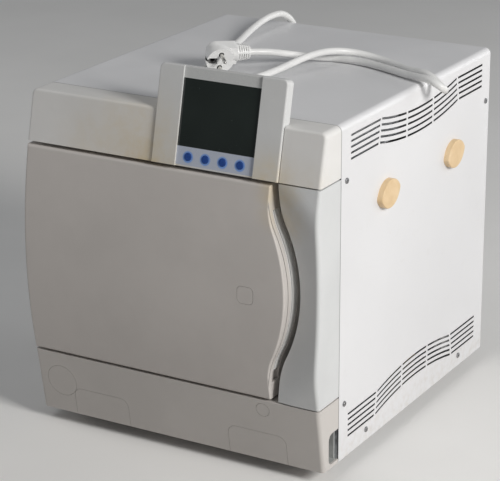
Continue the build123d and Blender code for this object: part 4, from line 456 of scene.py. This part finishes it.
materials = {
    "cover_paint": cover_paint(),
    "front_plastic": moulded("front_plastic", WARM_WHITE, HOOD_AGED, seam=True),
    "cheek_plastic": moulded("cheek_plastic", CHEEK_WHITE, HOOD_AGED),
    "panel_foil": panel_foil(),
    "screen_black": display_glass(),
    "key_blue": key_cap(),
    "cap_beige": beige_cap(),
    "cord_white": soft_white("cord_white", (0.80, 0.80, 0.79)),
    "pin_metal": metal("pin_metal", (0.60, 0.59, 0.56), (0.80, 0.79, 0.76), low=0.16, high=0.30),
    "sheet_steel": galvanised(),
    "vessel_steel": metal(
        "vessel_steel",
        (0.62, 0.62, 0.62),
        (0.72, 0.72, 0.71),
        low=0.22,
        high=0.30,
        grain=(30, 700, 30),
        bump=0.00002,
        cloud=0.12,
    ),
    "zinc_screw": metal(
        "zinc_screw", (0.24, 0.24, 0.25), (0.46, 0.46, 0.46), low=0.20, high=0.36, grain=(200, 200, 200)
    ),
    "silicone": plain(
        "silicone", (0.70, 0.68, 0.62), (0.82, 0.80, 0.74), scale=60.0, low=0.38, high=0.52
    ),
    "black_rubber": plain(
        "black_rubber",
        (0.020, 0.020, 0.020),
        (0.045, 0.044, 0.042),
        scale=120.0,
        low=0.6,
        high=0.8,
        bump=0.0001,
    ),
    "black_plastic": plain(
        "black_plastic", (0.018, 0.018, 0.019), (0.035, 0.035, 0.037), scale=90.0, low=0.36, high=0.52
    ),
    "mineral_wool": felt(),
    "brass_parts": metal("brass_parts", (0.58, 0.40, 0.16), (0.80, 0.62, 0.32), low=0.22, high=0.40),
    "copper_pipe": metal("copper_pipe", (0.50, 0.22, 0.12), (0.78, 0.40, 0.25), low=0.24, high=0.42),
    "board_green": circuit(),
    "motor_grey": plain(
        "motor_grey",
        (0.10, 0.11, 0.125),
        (0.15, 0.165, 0.18),
        scale=70.0,
        low=0.42,
        high=0.56,
        bump=0.0001,
    ),
    "fin_aluminium": metal("fin_aluminium", (0.62, 0.63, 0.64), (0.80, 0.81, 0.82), low=0.26, high=0.42),
}
door_plastic = moulded("door_plastic", DOOR_WHITE, DOOR_AGED, groove=DOOR_GROOVE)
plinth_plastic = moulded("plinth_plastic", PLINTH_WHITE, seam=True)
column_plastic = moulded("column_plastic", COLUMN_WHITE, COLUMN_AGED, seam=True)
# Painted light: the grip's plastic is whiter so its free edge reads as brightly lit
grip_lit_plastic = moulded("grip_lit_plastic", GRIP_LIT_WHITE, groove=GRIP_GROOVE)
bracket_zinc = plain(
    "bracket_zinc", (0.40, 0.41, 0.40), (0.50, 0.51, 0.50), scale=80.0, low=0.40, high=0.55
)
plug_plastic = soft_white("plug_white", (0.86, 0.86, 0.85), grime=0.15, holes=PLUG_HOLE_SHADES)
OWN_MATERIAL = {
    "plug_body": plug_plastic,
    "switch_bracket": bracket_zinc,
    "door_shell": door_plastic,
    "door_liner": door_plastic,
    "door_cap": door_plastic,
    "front_column": column_plastic,
    "grip": grip_lit_plastic,
    "plinth": plinth_plastic,
    "plinth_caps": plinth_plastic,
    "service_flaps": plinth_plastic,
}


def dress(obj, material):
    """Gives every material slot of an object one material."""
    if not obj.material_slots:
        obj.data.materials.append(material)
    for slot in obj.material_slots:
        slot.material = material


for entry in frame["record"]["subparts"]:
    name = entry["node"]
    dress(cad[name], OWN_MATERIAL.get(name, materials[entry["material_slot"]]))


# Mains cord, along the route of its CAD tube

CORD_R = 0.0048
CORD_ROUTE = [
    (-0.1120, 0.2660, 0.0800),
    (-0.1120, 0.2915, 0.0800),
    (-0.1120, 0.3165, 0.0900),
    (-0.1110, 0.3325, 0.1140),
    (-0.1100, 0.3355, 0.1500),
    (-0.1080, 0.3275, 0.1940),
    (-0.1060, 0.3135, 0.2440),
    (-0.1040, 0.2985, 0.2960),
    (-0.1030, 0.2865, 0.3480),
    (-0.1020, 0.2775, 0.3960),
    (-0.1020, 0.2715, 0.4290),
    (-0.1040, 0.2605, 0.4560),
    (-0.1070, 0.2375, 0.4725),
    (-0.1090, 0.2115, 0.4750),
    (-0.1100, 0.1805, 0.4725),
    (-0.1060, 0.1385, 0.4670),
    (-0.0950, 0.0915, 0.4633),
    (-0.0840, 0.0435, 0.4633),
    (-0.0730, -0.0025, 0.4633),
    (-0.0640, -0.0405, 0.4633),
    (-0.0580, -0.0685, 0.4633),
    (-0.0430, -0.0895, 0.4633),
    (-0.0180, -0.0985, 0.4633),
    (0.0070, -0.0905, 0.4633),
    (0.0215, -0.0705, 0.4633),
    (0.0280, -0.0475, 0.4650),
    (0.0355, -0.0295, 0.4680),
    (0.0435, -0.0085, 0.4725),
    (0.0505, 0.0180, 0.4765),
    (0.0595, 0.0490, 0.4775),
    (0.0740, 0.0725, 0.4750),
    (0.0950, 0.0875, 0.4705),
    (0.1230, 0.0905, 0.4655),
    (0.1580, 0.0755, 0.4633),
    (0.1820, 0.0625, 0.4633),
    (0.2050, 0.0535, 0.4660),
    (0.2195, 0.0480, 0.4615),
    (0.2295, 0.0445, 0.4550),
    (0.2410, 0.0380, 0.4505),
    (0.2440, 0.0270, 0.4555),
    (0.2360, 0.0220, 0.4620),
    (0.2210, 0.0265, 0.4660),
    (0.2050, 0.0320, 0.4650),
    (0.1800, 0.0435, 0.4633),
    (0.1500, 0.0575, 0.4633),
    (0.1065, 0.0735, 0.4633),
    (0.0700, 0.0755, 0.4633),
    (0.0460, 0.0690, 0.4633),
    (0.0285, 0.0545, 0.4660),
    (0.0150, 0.0365, 0.4710),
    (0.0035, 0.0165, 0.4765),
    (-0.0074, 0.0017, 0.4793),
    (-0.0192, -0.0112, 0.4803),
]


def mains_cord():
    """One smooth tube in place of the cord's CAD solid."""
    curve = bpy.data.curves.new("mains_cord_curve", "CURVE")
    curve.dimensions = "3D"
    curve.bevel_depth = CORD_R
    curve.bevel_resolution = 6
    curve.resolution_u = 8
    curve.use_fill_caps = True
    spline = curve.splines.new("NURBS")
    spline.points.add(len(CORD_ROUTE) - 1)
    for point, place in zip(spline.points, CORD_ROUTE):
        point.co = (*place, 1.0)
    spline.order_u = 3
    spline.use_endpoint_u = True
    obj = bpy.data.objects.new("cord_line", curve)
    bpy.context.scene.collection.objects.link(obj)
    obj.data.materials.append(materials["cord_white"])
    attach(obj, "housing")
    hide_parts("mains_cord")


mains_cord()


# Camera, as the photograph was taken

CAMERA_PLACE = Vector((1.277227, -2.242086, 1.127023))
AZIMUTH = radians(30.172)
ELEVATION = radians(19.40)
ROLL = radians(-0.283)
SENSOR = 36.0
FOCAL_PIXELS = 2021.091
PHOTO_WIDTH = 500


def add_camera():
    """The camera at the photograph's place, turn and focal length."""
    back = Vector((sin(AZIMUTH) * cos(ELEVATION), -cos(AZIMUTH) * cos(ELEVATION), sin(ELEVATION)))
    right = (-back).cross(Vector((0, 0, 1))).normalized()
    up = right.cross(-back)
    rolled_right = right * cos(ROLL) + up * sin(ROLL)
    rolled_up = up * cos(ROLL) - right * sin(ROLL)
    turn = Matrix((rolled_right, rolled_up, back)).transposed().to_4x4()
    lens = bpy.data.cameras.new("camera")
    lens.sensor_fit = "HORIZONTAL"
    lens.sensor_width = SENSOR
    lens.lens = FOCAL_PIXELS * SENSOR / PHOTO_WIDTH
    lens.clip_end = 60
    camera = bpy.data.objects.new("camera", lens)
    camera.matrix_world = Matrix.Translation(CAMERA_PLACE) @ turn
    bpy.context.scene.collection.objects.link(camera)
    bpy.context.scene.camera = camera


add_camera()


# Light, floor and background

LAMP_TARGET = Vector((0, 0, 0.25))
WARM_LIGHT = (1.0, 0.985, 0.965)
PALE_LIGHT = (1.0, 0.99, 0.975)
COOL_LIGHT = (0.97, 0.985, 1.0)
WORLD_COLOUR = (0.93, 0.96, 1.0, 1)
WORLD_STRENGTH = 0.17
FLOOR_HALF = 9.0


def lamp(name, place, size, power, colour):
    """A square soft lamp that faces the middle of the machine."""
    data = bpy.data.lights.new(name, "AREA")
    data.shape = "SQUARE"
    data.size = size
    data.energy = power
    data.color = colour
    obj = bpy.data.objects.new(name, data)
    obj.location = place
    obj.rotation_euler = (LAMP_TARGET - Vector(place)).to_track_quat("-Z", "Y").to_euler()
    bpy.context.scene.collection.objects.link(obj)


lamp("key_lamp", (2.99, -0.98, 1.80), size=1.0, power=85, colour=WARM_LIGHT)
lamp("back_lamp", (2.1, 2.8, 0.95), size=1.6, power=24, colour=COOL_LIGHT)
lamp("left_lamp", (-3.3, -0.2, 0.85), size=1.6, power=12, colour=COOL_LIGHT)
lamp("top_lamp", (-1.0, -1.2, 3.1), size=1.4, power=8, colour=PALE_LIGHT)


def add_world():
    """Weak, slightly cool light from all round."""
    world = bpy.data.worlds.new("studio")
    bpy.context.scene.world = world
    world.use_nodes = True
    background = world.node_tree.nodes["Background"]
    background.inputs["Color"].default_value = WORLD_COLOUR
    background.inputs["Strength"].default_value = WORLD_STRENGTH


def add_floor():
    """A plain floor that looks pale to the camera and throws less light back on the machine."""
    mesh = bpy.data.meshes.new("floor")
    half = FLOOR_HALF
    corners = [(-half, -half, 0), (half, -half, 0), (half, half, 0), (-half, half, 0)]
    mesh.from_pydata(corners, [], [(0, 1, 2, 3)])
    floor = bpy.data.objects.new("floor", mesh)
    bpy.context.scene.collection.objects.link(floor)
    made = Surface("floor_pale", roughness=0.85, specular=0.2)
    rays = made.node("ShaderNodeLightPath")
    seen = made.maths("ADD", rays.outputs["Is Camera Ray"], rays.outputs["Is Glossy Ray"])
    seen = made.maths("ADD", seen, rays.outputs["Is Transmission Ray"], clamp=True)
    grain = made.noise(3.0, detail=3.0, rough=0.5)
    shown = made.mix(made.spread(grain), (0.90, 0.89, 0.87), (0.93, 0.92, 0.90))
    made.colour(made.mix(seen, (0.58, 0.56, 0.54), shown))
    dress(floor, made.material)


add_world()
add_floor()
bpy.context.scene.view_settings.view_transform = "Standard"
